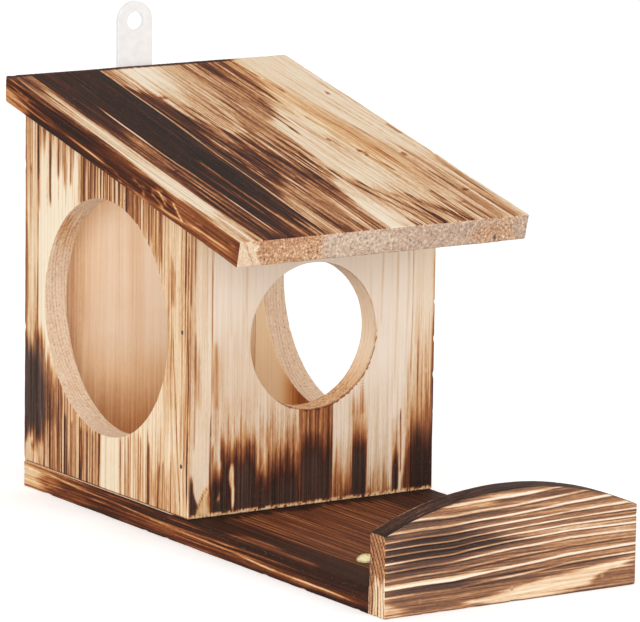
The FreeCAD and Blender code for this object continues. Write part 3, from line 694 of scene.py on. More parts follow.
def paint_side_wall(side):
    """Paint of a side wall. The left one follows the picture and the right one is its cousin."""

    def paint(face, p):
        y, z = p[:, 1], p[:, 2]
        through = HALF_WIDTH - np.abs(p[:, 0])
        if face in ("c0", "side0") and side < 0:
            return paint_left_outside(y, z)
        if face in ("c0", "side0"):
            paint = Paint(y, z, 12, burn=0.12, warm=0.75, rings=0.2).mottled(0.14, 6, 60)
            paint.strokes(tongues=RIGHT_TONGUES)
            return paint.band(0.55, (126, 112, 136, 200, 110, 136), 3, 3, 14).values
        if face == "c1":
            paint = Paint(y, z, 13, burn=0.01, warm=0.95, rings=0.03, streaks=0.3).mottled(0.03, 8, 80)
            groove = smooth(-y, -BOX_FRONT - 2, -BOX_FRONT - 1) * smooth(-z, -46, -34)
            # Painted shade on the right wall's inside: darker low down and toward the front.
            if side > 0:
                paint.move("burn", 0.50, smooth(-y, -122, -96) * smooth(-z, -60, -42))
            return paint.move("burn", 0.8 if side > 0 else 0.4, groove).values
        if face == "hole":
            around = np.arctan2(z - WINDOW[1], y - WINDOW[0])
            length = around * WINDOW[2]
            ring = through / 1.6 + length / 19
            paint = Paint(through, length, 14, burn=0.19, warm=0.1, rings=0.09, ring=ring, streaks=0.6)
            paint.move("end", 0.55, 1.0)
            torn = np.exp(-(((around - 0.7) / 0.25) ** 2))
            torn = np.clip(torn * (0.6 + 0.5 * grain_noise(through, length, 3, 9, 18)), 0, 1)
            paint.move("burn", 0.30, torn).move("warm", 0.8, torn)
            return paint.strokes(hairs=WINDOW_HAIRS).values
        if face == "side2":
            paint = Paint(through, z, 15, burn=0.1, warm=0.25, rings=0.03, streaks=0.6)
            if side < 0:
                paint.strokes(LEFT_EDGE_BANDS, LEFT_EDGE_LINES, blots=LEFT_EDGE_BLOTS)
                paint.strokes(LEFT_EDGE_WARM_BANDS)
                return crumbled(paint, z).values
            paint.strokes(tongues=RIGHT_EDGE_TONGUES, hairs=RIGHT_EDGE_HAIRS)
            paint.line(0.84, (8, 0.5, 130, 0.5), 0.9)
            paint.move("warm", 0.7, smooth(paint.values["burn"], 0.22, 0.42))
            return crumbled(paint, z).values
        return end_grain(y, through, 16, burn=0.15).values

    return paint


def paint_left_outside(y, z):
    """Outer face of the left wall, which the back wall's end continues."""
    ring = y / 3.1 + 0.9 * grain_noise(y, z, 9, 400, 17)
    paint = Paint(y, z, 11, burn=0.11, warm=0.65, rings=0.08, ring=ring, streaks=0.9)
    paint.mottled(0.05, 4, 60)
    paint.strokes(LEFT_BANDS + LEFT_RING_BANDS, LEFT_LINES, blots=LEFT_BLOTS, hairs=LEFT_HAIRS)
    return paint.move("burn", 0.85, smooth(-z, -12.9, -12.1)).values


# Front wall: across is x and along is z

FRONT_TONGUES = (
    (0.15, -53, -4, 92, 16), (0.13, -4, 53, 66, 14), (0.24, -53, -47, 84, 10), (0.22, -49, -29, 64, 10),
    (0.2, -53, -29, 54, 10), (0.2, -29, -6, 58, 9), (0.3, -7, 10.5, 60, 9), (0.48, -48, -28, 44, 9),
    (0.84, -53, -46, 29, 9), (0.92, -47, -30, 39, 9), (0.93, -53, -46, 26, 8), (0.38, -28.4, -6.5, 44, 9),
    (0.76, -28, -7, 33, 9), (0.92, -27.6, -7.2, 24, 8), (0.88, -31, -27.2, 24, 8), (0.56, -6.3, 10.6, 66, 6),
    (0.9, -6.2, 10.4, 38, 10), (0.24, 10.6, 21.5, 38, 9), (0.48, 10.6, 21.5, 26, 8), (0.86, 12, 21.5, 13, 6),
    (0.34, 21.4, 29.2, 58, 10), (0.92, 21.6, 29, 39, 9), (0.17, 29.2, 42.6, 36, 9),
    (0.27, 29.2, 42.6, 23, 8), (0.8, 29.2, 42.6, 12, 4), (0.36, 42.4, 45.6, 46, 8, 0.5),
    (0.92, 42.8, 46, 31, 8, 0.5), (0.24, 49, 54, 60, 12),
)
FRONT_WEDGE_BANDS = (
    (0.56, (-20, 48.2, 56, 16, 48.4, 56, 34, 50.2, 56, 48, 52.6, 56), 1, 0.8, 8),
    (0.76, (-20, 48.4, 56, 16, 48.6, 56, 28, 50.2, 56, 36, 52.4, 56), 0.8, 0.6, 6),
)
FRONT_HAIRS = (
    (0.42, -52, -30, 40, 70, 14, 0.4, 0.3), (0.62, -52, -29, 36, 52, 22, 0.5, 0.3),
    (0.38, -28, 8, 44, 66, 16, 0.4, 0.3), (0.62, -28, -7, 30, 46, 20, 0.5, 0.3),
    (0.24, -28, -7, 60, 26, 10, 0.4, 0.1), (0.54, 11, 21, 14, 50, 12, 0.4, 0.3),
    (0.44, 21, 29, 50, 76, 8, 0.4, 0.3), (0.46, 29, 43, 12, 40, 14, 0.4, 0.3),
    (0.36, 48, 53, 40, 100, 8, 0.45, 0.3), (0.22, -52, -34, 150, 70, 5, 0.5, 0.2),
    (0.12, 30, 53, 150, 60, 9, 0.6, 0.2),
)
FRONT_LINES = (
    (0.45, (58, -50.6, 92, -50.9), 0.8), (0.26, (30, -28.6, 62, -28), 0.5),
    (0.62, (14, -6.9, 62, -6.9), 0.4), (0.9, (20, 47.4, 52, 47.2), 0.3, 0.2),
    (0.24, (50, 44, 146, 44.4), 0.5), (0.24, (60, 49.6, 146, 50), 0.5), (0.2, (84, -35, 146, -36), 0.5),
    (0.18, (88, -43, 146, -44), 0.5), (0.2, (88, 36, 146, 37), 0.5), (0.9, (10, -52.6, 46, -52.6), 0.4),
    (0.5, (60, -52.8, 146, -52.8), 0.35), (0.5, (60, 52.8, 146, 52.8), 0.35),
)
FRONT_BLOTS = (
    (0.22, (-42.4, 29), (1.5, 7), 0.3), (0.26, (-41.6, 20), (1, 6), 0.3), (0.45, (-49, 20), (1, 2), 0.3),
)


def paint_front_wall(face, p):
    x, z = p[:, 0], p[:, 2]
    through = p[:, 1] - BOX_FRONT
    if face in ("c0", "side0", "side2"):
        paint = Paint(x, z, 21, burn=0.03, warm=0.0, rings=0.02, streaks=0.2).mottled(0.02, 5, 90)
        paint.move("streaks", 0.8, smooth(-z, -80, -50))
        paint.strokes(tongues=FRONT_TONGUES)
        paint.strokes(FRONT_WEDGE_BANDS, FRONT_LINES, blots=FRONT_BLOTS, hairs=FRONT_HAIRS)
        burn = paint.values["burn"]
        paint.move("warm", 0.8, smooth(burn, 0.22, 0.42)).move("warm", 0.2, smooth(burn, 0.8, 0.95))
        paint.move("burn", 0.78, 0.4 * smooth(burn, 0.84, 0.91))
        paint.blot(1.0, (-42.4, 26), (1.8, 10), 0.3, "warm")
        out = np.hypot(x - ENTRANCE[0], z - ENTRANCE[1]) - ENTRANCE[2]
        lip = smooth(0.5 * grain_noise(x, z, 0.9, 0.9, 27) - out, -0.75, -0.25)
        lip = lip * smooth(0.5 * (x - ENTRANCE[0]) - (z - ENTRANCE[1]), 12, 26)
        paint.move("burn", 0.76, lip)
        return crumbled(paint, z).values
    if face == "c1":
        return Paint(x, z, 22, burn=0.12, warm=0.5, rings=0.04, streaks=0.4).mottled(0.04, 8, 80).values
    if face == "hole":
        around = np.arctan2(z - ENTRANCE[1], x - ENTRANCE[0])
        length = around * ENTRANCE[2]
        tilt = smooth(np.abs(np.sin(around)), 0.5, 0.9)
        paint = Paint(through, length, 23, burn=0.08, warm=0.3, rings=0.05, streaks=0.4)
        foot = smooth(-np.sin(around), 0.3, 0.9)
        paint.move("end", 1.0, 0.9 * tilt).move("burn", 0.26, foot).move("warm", 0.8, foot)
        ragged = 0.6 * grain_noise(through, length, 1, 1.2, 26)
        rims = smooth(-np.minimum(through, BOARD - through) + ragged, -1.4, -0.2)
        return paint.move("burn", 0.50, rims * (0.3 + 0.6 * tilt)).values
    return end_grain(x, through, 24, burn=0.15).values


# Back wall: its outside is hidden in the picture and has the same kind of flames

BACK_TONGUES = (
    (0.42, -65, -30, 84, 16), (0.45, -18, 12, 70, 16), (0.45, 24, 65, 88, 16), (0.9, -65, -50, 50, 10),
    (0.86, -46, -34, 30, 8), (0.94, -16, -2, 54, 9), (0.8, 4, 16, 26, 8), (0.94, 30, 44, 46, 9),
    (0.9, 50, 65, 60, 10), (0.66, -60, -30, 168, 10, 0.8, False), (0.7, -8, 20, 176, 9, 0.8, False),
    (0.62, 36, 60, 164, 10, 0.8, False),
)
# Streaks on the inside of the back wall. The last band, by the left wall, is painted shade in that inner
# corner.
BACK_INNER_BANDS = (
    (0.19, (0, -42, -30, 200, -43, -31), 3, 1, 10), (0.19, (0, -14, -7, 200, -16, -8), 2.5, 1, 10),
    (0.18, (0, 16, 22, 200, 15, 22), 2.5, 1, 10), (0.31, (50, -60, -40, 200, -60, -40), 6, 1, 30),
)


def paint_back_wall(face, p):
    x, y, z = p.T
    through = y - BACK_LOW[1]
    if face == "a0":
        return paint_left_outside(y, z)
    if face == "a1":
        paint = Paint(through, z, 32, burn=0.15, warm=0.6, rings=0.2)
        return paint.tongue(0.85, -1, 13, 48, 12).values
    if face == "c1":
        paint = Paint(x, z, 33, burn=0.14, warm=0.6, rings=0.12).mottled(0.16, 5, 90)
        return paint.strokes(tongues=BACK_TONGUES).values
    if face == "c0":
        paint = Paint(x, z, 34, burn=0.14, warm=0.0, rings=0.015, streaks=0.25).mottled(0.02, 10, 120)
        paint.strokes(BACK_INNER_BANDS)
        # Painted shade: the inside of the back wall darker and warmer low down, and darker at the top under
        # the roof.
        paint.move("warm", 0.35, smooth(-z, -80, -30)).move("burn", 0.40, smooth(-z, -72, -14))
        paint.move("burn", 0.36, smooth(z, 116, 150))
        edge = smooth(np.abs(x), HALF_WIDTH - 2.5, HALF_WIDTH - 1.5)
        outside = paint_left_outside(y, z)
        return paint.move("burn", outside["burn"], edge).move("warm", outside["warm"], edge).values
    return end_grain(x, through, 35, burn=0.16).values


# Base: across is x and along is y on its faces, and across is z on its long edges

BASE_TOP_BANDS = (
    (0.9, (-160, -70, -44, -60, -70, -46, 30, -70, -50), 3, 3), (0.86, (-160, 30, 70, 30, 34, 70), 4, 3),
    (0.6, (-92, -66, -61, -30, -66, -61), 1.5, 2.5, 10), (0.95, (0, -70, 70, 20, -70, 70), 2, 1, 4),
)
BASE_SIDE_BANDS = (
    (0.9, (-160, 4.8, 13, -60, 5.4, 13, 20, 8, 13, 100, 10, 13), 0.8, 0.6, 10),
    (0.95, (-160, -1, 1.3, 90, -1, 1.1), 0.5, 0.4, 10), (0.5, (126, -1, 13, 170, -1, 13), 1.5, 1, 12),
    (0.18, (130, 1.5, 10.5, 170, 0.5, 11), 1, 1.5, 12),
)
BASE_SIDE_LINES = (
    (0.1, (-140, 3, -100, 3.2, -60, 3.9, 0, 6, 60, 7.6, 110, 9.2, 150, 10.8), 0.5, 0.3),
    (0.5, (-140, 1.8, -60, 2.2, 20, 4, 100, 6.2), 0.5, 0.8), (0.5, (-60, 9, 40, 10.2, 100, 11.4), 0.4, 0.9),
    (0.6, (60, 2.8, 130, 3.6), 0.6, 0.8),
)
BASE_SIDE_HAIRS = (
    (0.38, 0, 12, -138, 150, 40, 0.3, 0.05), (0.95, 0, 12, -138, 110, 30, 0.4, 0.05),
)


def paint_base(face, p):
    x, y, z = p.T
    if face == "c1":
        paint = Paint(x, y, 41, burn=0.69, warm=0.8, rings=-0.14, streaks=0.8).mottled(0.05, 3, 90)
        paint.strokes(BASE_TOP_BANDS)
        inside = smooth(y, BOX_FRONT + 10, BOX_FRONT + 16)
        for key, value in (("burn", 0.14), ("rings", 0.05), ("streaks", 0.5)):
            paint.move(key, value, inside)
        return paint.values
    if face == "c0":
        return Paint(x, y, 42, burn=0.14, warm=0.5, rings=0.14).mottled(0.12, 8, 120).values
    if face == "a0":
        paint = Paint(z, y, 43, burn=0.75, warm=1.0, rings=0.0, streaks=0.9).mottled(0.08, 2.0, 12)
        paint.strokes(BASE_SIDE_BANDS, BASE_SIDE_LINES)
        return paint.strokes(hairs=BASE_SIDE_HAIRS).values
    if face == "a1":
        return Paint(z, y, 44, burn=0.6, warm=0.7, rings=0.1).mottled(0.25, 3, 60).values
    return end_grain(x, z, 45, burn=0.3, rings=0.1).mottled(0.2, 20, 20).values


# Rail: across is z and along is x on its broad faces

# Heights of the growth rings at stations along x
RAIL_RING_STATIONS = (-65, -30, 0, 30, 65)
RAIL_RING_HEIGHTS = (
    (3, 3.4, 5, 7.4, 8), (7, 7.4, 9, 11.6, 12.4), (10.6, 11, 12.8, 15.2, 15.8),
    (14.4, 14.9, 17.2, 19.2, 19.6), (18, 19, 21.2, 22.8, 22.4), (21.6, 22.8, 24.8, 26.2, 25.4),
    (25, 26, 27.8, 29, 28.4), (28, 28.6, 30.4, 31.8, 31.6), (30.9, 31.6, 33, 34.6, 34.9),
    (34, 35, 36.2, 37.8, 38.6), (38.2, 38.6, 39.5, 41.8, 43.6), (42.6, 42.8, 43.4, 45.8, 48),
    (47.4, 47.4, 47.6, 49.8, 52),
)
RAIL_BANDS = (
    (0.46, (4, 28, 54, 32, 16, 54, 75, 14, 54), 4, 2, 20),
    (0.84, (-75, 18, 37, -40, 20, 37, -16, 23, 33, 4, 25, 29), 3, 1.5, 24),
    (0.6, (-75, 34, 44, -20, 36, 42), 1.5, 1.5, 16),
    (0.16, (-75, 12.6, 14.6, -30, 12.8, 15.2, -6, 14.4, 16.2), 0.4, 0.3, 10),
    (0.8, (-40, 45.5, 54, -12, 48.4, 54, 20, 48.6, 54), 0.8, 0.8, 8),
    (0.62, (0, 46.5, 54, 40, 43.5, 54, 58, 38.5, 54), 1, 0.8, 8),
    (0.26, (-42, 43.6, 45.2, -10, 43.8, 45.8), 0.8, 0.8, 8),
    (0.26, (-16, 46.2, 47.8, 18, 45.8, 47.4), 0.8, 0.8, 10),
    (0.22, (-75, 2, 9.6, -50, 3, 9.6), 1.5, 1.5, 14), (0.24, (-75, -1, 3, -44, -1, 2.4), 1, 1.5, 14),
    (0.58, (-58, 2.5, 9.4, -10, 3, 11, 30, 8, 13.4), 1.5, 1.5, 10), (0.5, (-48, -1, 4, -20, -1, 4), 1, 1, 8),
    (0.15, (-18, 0.6, 3.4, 4, 0.6, 6.2, 18, 0.6, 9.4, 42, 1.6, 11.2, 66, 9, 12.4), 1.2, 1.6, 8),
    (0.52, (41, 0.8, 4, 51, 0.8, 8.2, 75, 1.2, 10), 1, 1.5, 5),
)
# Left end of the rail: across is the depth in the rail and along is z
RAIL_END_BANDS = (
    (0.66, (13, 9.4, 13, 40, 8.6, 13), 0.8, 0.5, 4), (0.44, (16, -1, 13, 44, -1, 13), 1, 0.5, 5),
    (0.1, (-4, -1, 8.6, 15, -1, 8), 1, 0.5, 4),
)
RAIL_END_LINES = (
    (0.8, (0, 9.2, 34, 9), 0.5), (0.7, (0, 5.2, 14, 5), 0.4),
)
RAIL_DARK_LINES = (
    (0.9, (-66, 11.6, -30, 11.9, 0, 12.6, 20, 13.2, 40, 13.8, 66, 13.6), 0.55, 0.2),
    (0.8, (-66, 16.2, -30, 16.8, 0, 19, 30, 21, 66, 20.8), 0.5, 0.5), (0.84, (-22, 0.2, 45, 0.2), 0.6, 0.4),
    (0.8, (-55, 42.4, -30, 46.4), 0.6, 0.5),
)


def paint_rail(face, p):
    x, y, z = p.T
    through = y - RAIL_LOW[1]
    if face == "b1":
        paint = Paint(through, x, 51, burn=0.88, warm=0.35, rings=0.0).mottled(0.08, 1.4, 30)
        for number in range(7):
            paint.line(0.62, (-66, 0.9 + 1.7 * number, 66, 0.7 + 1.7 * number), 0.3, 1.0)
        return paint.line(0.35, (-66, 11.4, -20, 11.6), 0.4).values
    if face in ("a0", "a1"):
        paint = end_grain(through, z, 52, (50, 4), 2.3, burn=0.36, warm=0.85, rings=0.46)
        paint.move("end", 0.55, 1.0)
        if face == "a0":
            paint.strokes(RAIL_END_BANDS, RAIL_END_LINES)
        return paint.values
    if face in ("c0", "c1"):
        heights = np.array([np.interp(x, RAIL_RING_STATIONS, row) for row in RAIL_RING_HEIGHTS])
        heights += 0.35 * grain_noise(z * 0, x, 1, 16, 55)
        below = np.clip((heights < z).sum(0), 1, len(heights) - 1)
        low = np.take_along_axis(heights, below[None] - 1, 0)[0]
        high = np.take_along_axis(heights, below[None], 0)[0]
        ring = below + (z - low) / (high - low)
        paint = Paint(z, x, 53, burn=0.56, warm=0.05, rings=-0.42, ring=ring, streaks=0.9)
        paint.mottled(0.04, 2.0, 60).strokes(RAIL_BANDS)
        paint.move("rings", -0.1, smooth(-z, -np.interp(x, (-65, 0, 65), (11, 13.5, 16)) - 1, -8))
        paint.move("warm", 0.5, smooth(-paint.values["burn"], -0.34, -0.2))
        return paint.strokes(lines=RAIL_DARK_LINES).values
    return Paint(through, x, 54, burn=0.4).mottled(0.2).values


# Positions on the boards

ROOF_HIGH_Z = roof_underside(BOX_BACK) + BOARD / COS
ROOF_LENGTH = (BOX_BACK - ROOF_FRONT_Y) / COS
RAIL_HEIGHT = RAIL_HIGH[2]
RAIL_RISE = RAIL_HEIGHT - RAIL_END_HEIGHT
RAIL_RADIUS = (HALF_WIDTH**2 + RAIL_RISE**2) / (2 * RAIL_RISE)
BACK_HEIGHT = roof_underside(BOX_BACK) - FLOOR


def roof_points(a, b, c):
    """Roof board: a across, b up the slope from the front, c through the board."""
    low_start = np.array([ROOF_FRONT_Y, ROOF_FRONT_Z])
    high_start = low_start + BOARD * np.array([-SIN, COS])
    low_end = np.array([BOX_BACK, roof_underside(BOX_BACK)])
    high_end = np.array([BOX_BACK, ROOF_HIGH_Z])
    through, up = (c / BOARD)[..., None], (b / ROOF_LENGTH)[..., None]
    start = low_start + through * (high_start - low_start)
    end = low_end + through * (high_end - low_end)
    flat = start + up * (end - start)
    return np.stack([a, flat[..., 0], flat[..., 1]], -1)


def rail_points(a, b, c):
    """Rail: a across, b up, c from its front to its back."""
    return np.stack([a, RAIL_LOW[1] + c, b / RAIL_HEIGHT * rail_top(a)], -1)


def rail_top(x):
    return RAIL_HEIGHT - RAIL_RADIUS + np.sqrt(RAIL_RADIUS**2 - x**2)


def back_points(a, b, c):
    """Back wall: a across, b up, c from its front to its back."""
    y = BACK_LOW[1] + c
    return np.stack([a, y, FLOOR + b / BACK_HEIGHT * (roof_underside(y) - FLOOR)], -1)


def base_points(a, b, c):
    return np.stack([a, b, c], -1)


def wall_planes(low, high, top=True):
    """Planes of a board's faces, with the slope as its top, or with no top."""
    planes = [(-X, -low[0]), (X, high[0]), (-Y, -low[1]), (Y, high[1]), (-Z, -low[2])]
    if top:
        planes.append((OUT_OF_ROOF, np.array([0, BOX_FRONT, FRONT_TOP]) @ OUT_OF_ROOF))
    return planes


def side_outline():
    start, end = LEFT_LOW[1], LEFT_HIGH[1]
    return start, end, FLOOR, roof_underside(start), roof_underside(end)


def front_outline(y):
    return FRONT_LOW[0], FRONT_HIGH[0], FLOOR, roof_underside(y), roof_underside(y)


PAINTED = ("burn", "warm", "rings", "ring", "streaks", "end")
# Depth of the brushed relief in millimetres: everywhere, where burnt, in the rings and in slow waves
RELIEF, BURNT_RELIEF, RING_RELIEF, WAVE_RELIEF, LEAST_RELIEF = 0.05, 0.10, 0.12, 0.03, 0.01
EDGE_RADIUS, CHIP_RADIUS = 0.75, 0.9


def as_object(name, mesh, shape, paint):
    """Blender object of a board, with its painted values on the corners of its quads."""
    points, quads, faces = mesh.merged()
    values = {key: np.zeros(quads.shape) for key in PAINTED}
    relief, weight = np.zeros(len(points)), np.zeros(len(points))
    for face in sorted(set(faces)):
        chosen = np.flatnonzero(faces == face)
        used, place = np.unique(quads[chosen], return_inverse=True)
        painted = paint(face, points[used])
        for key, value in painted.items():
            values[key][chosen] = value[place].reshape(-1, 4)
        number, phase = np.divmod(painted["ring"], 1)
        ridge = np.exp(-(((phase - 0.5) / 0.16) ** 2)) * (0.5 + 0.5 * np.sin(12.9898 * number))
        depth = RELIEF + BURNT_RELIEF * np.clip(painted["burn"], 0, 1) * (1 - 0.8 * ridge)
        depth += RING_RELIEF * np.abs(painted["rings"]) * (1 - ridge)
        relief[used] += depth
        weight[used] += 1
    sink = relief / weight + WAVE_RELIEF * noise(points / (1.3, 9, 9), 4)
    final = shape(points, np.maximum(sink, LEAST_RELIEF)) * MM
    data = bpy.data.meshes.new(name)
    data.vertices.add(len(final))
    data.vertices.foreach_set("co", final.ravel())
    data.loops.add(quads.size)
    data.loops.foreach_set("vertex_index", quads.ravel())
    data.polygons.add(len(quads))
    data.polygons.foreach_set("loop_start", np.arange(0, quads.size, 4))
    data.update(calc_edges=True)
    for key, value in values.items():
        data.attributes.new(key, "FLOAT", "CORNER").data.foreach_set("value", value.ravel())
    piece = bpy.data.objects.new(name, data)
    bpy.context.scene.collection.objects.link(piece)
    steady = bmesh.new()
    steady.from_mesh(data)
    bmesh.ops.recalc_face_normals(steady, faces=steady.faces)
    steady.to_mesh(data)
    steady.free()
    data.polygons.foreach_set("use_smooth", np.ones(len(quads), bool))
    return piece


def edge_radius(points, seed, usual):
    """Radius of worn edges: uneven, with a larger chip here and there."""
    radius = usual * (1 + 0.35 * noise(points / 17, seed) + 0.2 * noise(points / 5, seed + 1))
    chip = smooth(noise(points / 3.4, seed + 2), 0.62, 0.85)
    return radius + CHIP_RADIUS * chip


def shaped(planes, seed, arc=None, hole=None, usual=EDGE_RADIUS):
    """Function that wears a board with these planes down."""

    def shape(points, sink):
        return worn(points, planes, edge_radius(points, seed, usual), sink, arc, hole)

    return shape


# Materials


def srgb(red, green, blue):
    """Linear colour of an 8-bit one."""
    parts = [v / 255 for v in (red, green, blue)]
    return [v / 12.92 if v <= 0.04045 else ((v + 0.055) / 1.055) ** 2.4 for v in parts] + [1.0]


class Graph:
    """Short ways to add nodes to a new material or world."""

    def __init__(self, name, kind="Material"):
        self.owner = (bpy.data.worlds if kind == "World" else bpy.data.materials).new(name)
        self.owner.use_nodes = True
        self.tree = self.owner.node_tree
        self.tree.nodes.clear()
        self.output = self.node("Output" + kind)

    def put(self, socket, value):
        if isinstance(value, bpy.types.NodeSocket):
            self.tree.links.new(value, socket)
        elif value is not None:
            socket.default_value = value

    def node(self, kind, inputs=(), **settings):
        node = self.tree.nodes.new("ShaderNode" + kind)
        for key, value in settings.items():
            setattr(node, key, value)
        for key, value in dict(inputs).items():
            self.put(node.inputs[key], value)
        return node

    def math(self, operation, first, second=None, third=None, clamp=False):
        node = self.node("Math", operation=operation, use_clamp=clamp)
        for socket, value in zip(node.inputs, (first, second, third)):
            self.put(socket, value)
        return node.outputs[0]

    def times(self, first, second):
        return self.math("MULTIPLY", first, second)

    def fused(self, first, factor, added):
        return self.math("MULTIPLY_ADD", first, factor, added)

    def centred(self, share):
        return self.math("SUBTRACT", share, 0.5)

    def dot(self, vector, direction):
        node = self.node("VectorMath", {0: vector, 1: tuple(direction)}, operation="DOT_PRODUCT")
        return node.outputs["Value"]

    def attribute(self, name):
        return self.node("Attribute", attribute_name=name).outputs["Fac"]

    def noise(self, vector, scale, detail=2.0, roughness=0.5):
        inputs = {"Vector": vector, "Scale": scale, "Detail": detail, "Roughness": roughness}
        return self.node("TexNoise", inputs).outputs["Fac"]

    def remap(self, value, low, high, to_low=0.0, to_high=1.0, smooth_step=True):
        kind = "SMOOTHSTEP" if smooth_step else "LINEAR"
        inputs = {0: value, 1: low, 2: high, 3: to_low, 4: to_high}
        return self.node("MapRange", inputs, interpolation_type=kind).outputs[0]

    def ramp(self, value, stops):
        node = self.node("ValToRGB", {0: value})
        elements = node.color_ramp.elements
        while len(elements) < len(stops):
            elements.new(0.5)
        for element, (position, colour) in zip(elements, stops):
            element.position = position
            element.color = srgb(*colour)
        return node.outputs["Color"]

    def mix(self, share, first, second):
        """Colour between two. The Mix node has its colours in inputs 6 and 7 and in output 2."""
        node = self.node("Mix", data_type="RGBA", clamp_factor=True)
        self.put(node.inputs["Factor"], share)
        self.put(node.inputs[6], first)
        self.put(node.inputs[7], second)
        return node.outputs[2]

    def bump(self, height, distance, strength):
        inputs = {"Height": height, "Distance": distance, "Strength": strength}
        return self.node("Bump", inputs).outputs["Normal"]

    def principled(self, colour, roughness, normal, **others):
        """Finished material. Underlines in the names of other inputs stand for blanks."""
        inputs = {"Base Color": colour, "Roughness": roughness, "Normal": normal}
        inputs.update({key.replace("_", " "): value for key, value in others.items()})
        return self.finish(self.node("BsdfPrincipled", inputs).outputs[0])

    def seen(self):
        """1 for rays of the camera, also by way of a mirror or glass, and 0 for all others."""
        ray = self.node("LightPath").outputs
        seen = self.math("MAXIMUM", ray["Is Camera Ray"], ray["Is Glossy Ray"])
        return self.math("MAXIMUM", seen, ray["Is Transmission Ray"])

    def finish(self, shader):
        self.tree.links.new(shader, self.output.inputs["Surface"])
        return self.owner


# Greyish and yellow wood from bare to charred
BURN_COLOURS = (
    (0.00, (244, 230, 214)),
    (0.10, (236, 217, 196)),
    (0.24, (220, 187, 153)),
    (0.38, (187, 138, 99)),
    (0.52, (149, 106, 79)),
    (0.66, (113, 82, 67)),
    (0.80, (84, 65, 58)),
    (0.92, (58, 45, 39)),
    (1.00, (45, 36, 32)),
)
WARM_COLOURS = (
    (0.00, (250, 234, 203)),
    (0.10, (243, 217, 178)),
    (0.24, (226, 180, 128)),
    (0.38, (198, 135, 84)),
    (0.52, (156, 90, 52)),
    (0.66, (112, 60, 36)),
    (0.80, (76, 39, 25)),
    (0.92, (49, 30, 22)),
    (1.00, (36, 26, 21)),
)
# Grey of end grain, grey of scuffs and painted sheen on charred wood, and brown of worn char
END_GREY, SCUFF_AND_SHEEN_GREY, WORN_BROWN = srgb(204, 197, 190), srgb(128, 124, 126), srgb(190, 140, 104)
# Depths of the bump in metres
WOOD_BUMP, PLATE_BUMP, FILLER_BUMP = 0.00025, 0.00002, 0.00008
WOOD_SHINE = 0.06


def flamed_wood(name, along, across, seed, wander_of_rings=0.9, spread_of_rings=1.1, grooved=False):
    """Wood whose grain runs along a direction. Its painted values say how it is burnt."""
    graph = Graph(name)
    place = graph.node("TexCoord").outputs["Object"]
    side = graph.dot(place, np.array(across) / MM)
    far = graph.math("ADD", graph.dot(place, np.array(along) / MM), 40 * seed)
    deep = graph.dot(place, np.cross(along, across) / MM)

    def grain(stretch):
        parts = {0: side, 1: graph.math("DIVIDE", far, stretch), 2: deep}
        return graph.node("CombineXYZ", parts).outputs[0]

    # Noises with their scale per millimetre, detail and roughness
    long_grain, short_grain, even = grain(70.0), grain(9.0), grain(1.0)
    fine = graph.noise(long_grain, 1.25, 2.0, 0.6)
    coarse = graph.noise(long_grain, 0.5, 2.0, 0.6)
    fibre = graph.noise(short_grain, 2.6, 2.0, 0.7)
    cloud = graph.noise(even, 0.05, 2.0)
    speck = graph.noise(even, 0.8, 4.0, 0.85)

    names = ("burn", "rings", "warm", "streaks", "end")
    burn, rings, warm, streaks, end = (graph.attribute(key) for key in names)
    wander = graph.times(graph.centred(graph.noise(long_grain, 0.12, 1.0)), wander_of_rings)
    ring = graph.math("ADD", graph.attribute("ring"), wander)
    part = graph.math("FRACT", ring)
    # On the rail a groove runs under each pale ring line. It is cut into the bump, and its dark colour is
    # painted shadow.
    if grooved:
        line = graph.times(graph.remap(part, 0.42, 0.54), graph.remap(part, 0.80, 0.60))
        groove = graph.times(graph.remap(part, 0.22, 0.35), graph.remap(part, 0.45, 0.38))
        line = graph.fused(groove, -0.4, line)
    else:
        line = graph.times(graph.remap(part, 0.30, 0.58), graph.remap(part, 0.80, 0.62))
    number = graph.math("FLOOR", ring)
    chance = graph.node("TexWhiteNoise", {"W": number}, noise_dimensions="1D").outputs["Value"]
    strength = graph.fused(chance, spread_of_rings, 1 - 0.6 * spread_of_rings)
    line = graph.times(line, strength)

    bare = graph.math("SUBTRACT", 1.0, burn)
    middle = graph.math("MULTIPLY", graph.times(burn, bare), 4.0, clamp=True)
    amount = graph.times(streaks, graph.math("SUBTRACT", 1.0, graph.times(end, 0.8)))

    # The fibres' contrast is least in bare and in charred wood and most between them
    level = graph.fused(rings, line, burn)
    for noise, least, most in ((coarse, 0.08, 0.50), (fine, 0.18, 0.95), (fibre, 0.12, 0.45)):
        contrast = graph.times(graph.fused(middle, most - least, least), amount)
        level = graph.fused(graph.centred(noise), contrast, level)
    level = graph.fused(graph.centred(cloud), 0.08, level)
    spots = graph.fused(graph.remap(speck, 0.47, 0.38), -0.5, graph.remap(speck, 0.54, 0.64))
    spots = graph.times(spots, graph.math("POWER", end, 2.0))
    level = graph.fused(spots, 0.50, level)

    colour = graph.mix(warm, graph.ramp(level, BURN_COLOURS), graph.ramp(level, WARM_COLOURS))
    greyed = graph.times(graph.math("SUBTRACT", 1.0, warm), graph.times(end, 0.38))
    colour = graph.mix(greyed, colour, END_GREY)
    # Grey flecks on charred wood: scuffs in the char, and a painted sheen of its gloss.
    scuffs_and_sheen = graph.times(graph.remap(level, 0.86, 0.98), graph.remap(speck, 0.56, 0.74))
    colour = graph.mix(graph.times(scuffs_and_sheen, 0.28), colour, SCUFF_AND_SHEEN_GREY)
    worn_off = graph.times(graph.remap(fibre, 0.62, 0.76), 0.34)
    colour = graph.mix(graph.times(worn_off, burn), colour, WORN_BROWN)

    height = graph.fused(fine, 0.5, graph.times(fibre, 0.35))
    height = graph.math("ADD", graph.times(line, 0.3), height)
    height = graph.fused(graph.times(speck, end), 0.8, height)
    normal = graph.bump(height, WOOD_BUMP, 0.6)
    rough = graph.fused(level, -0.10, 0.74)
    return graph.principled(colour, rough, normal, Specular_IOR_Level=WOOD_SHINE)


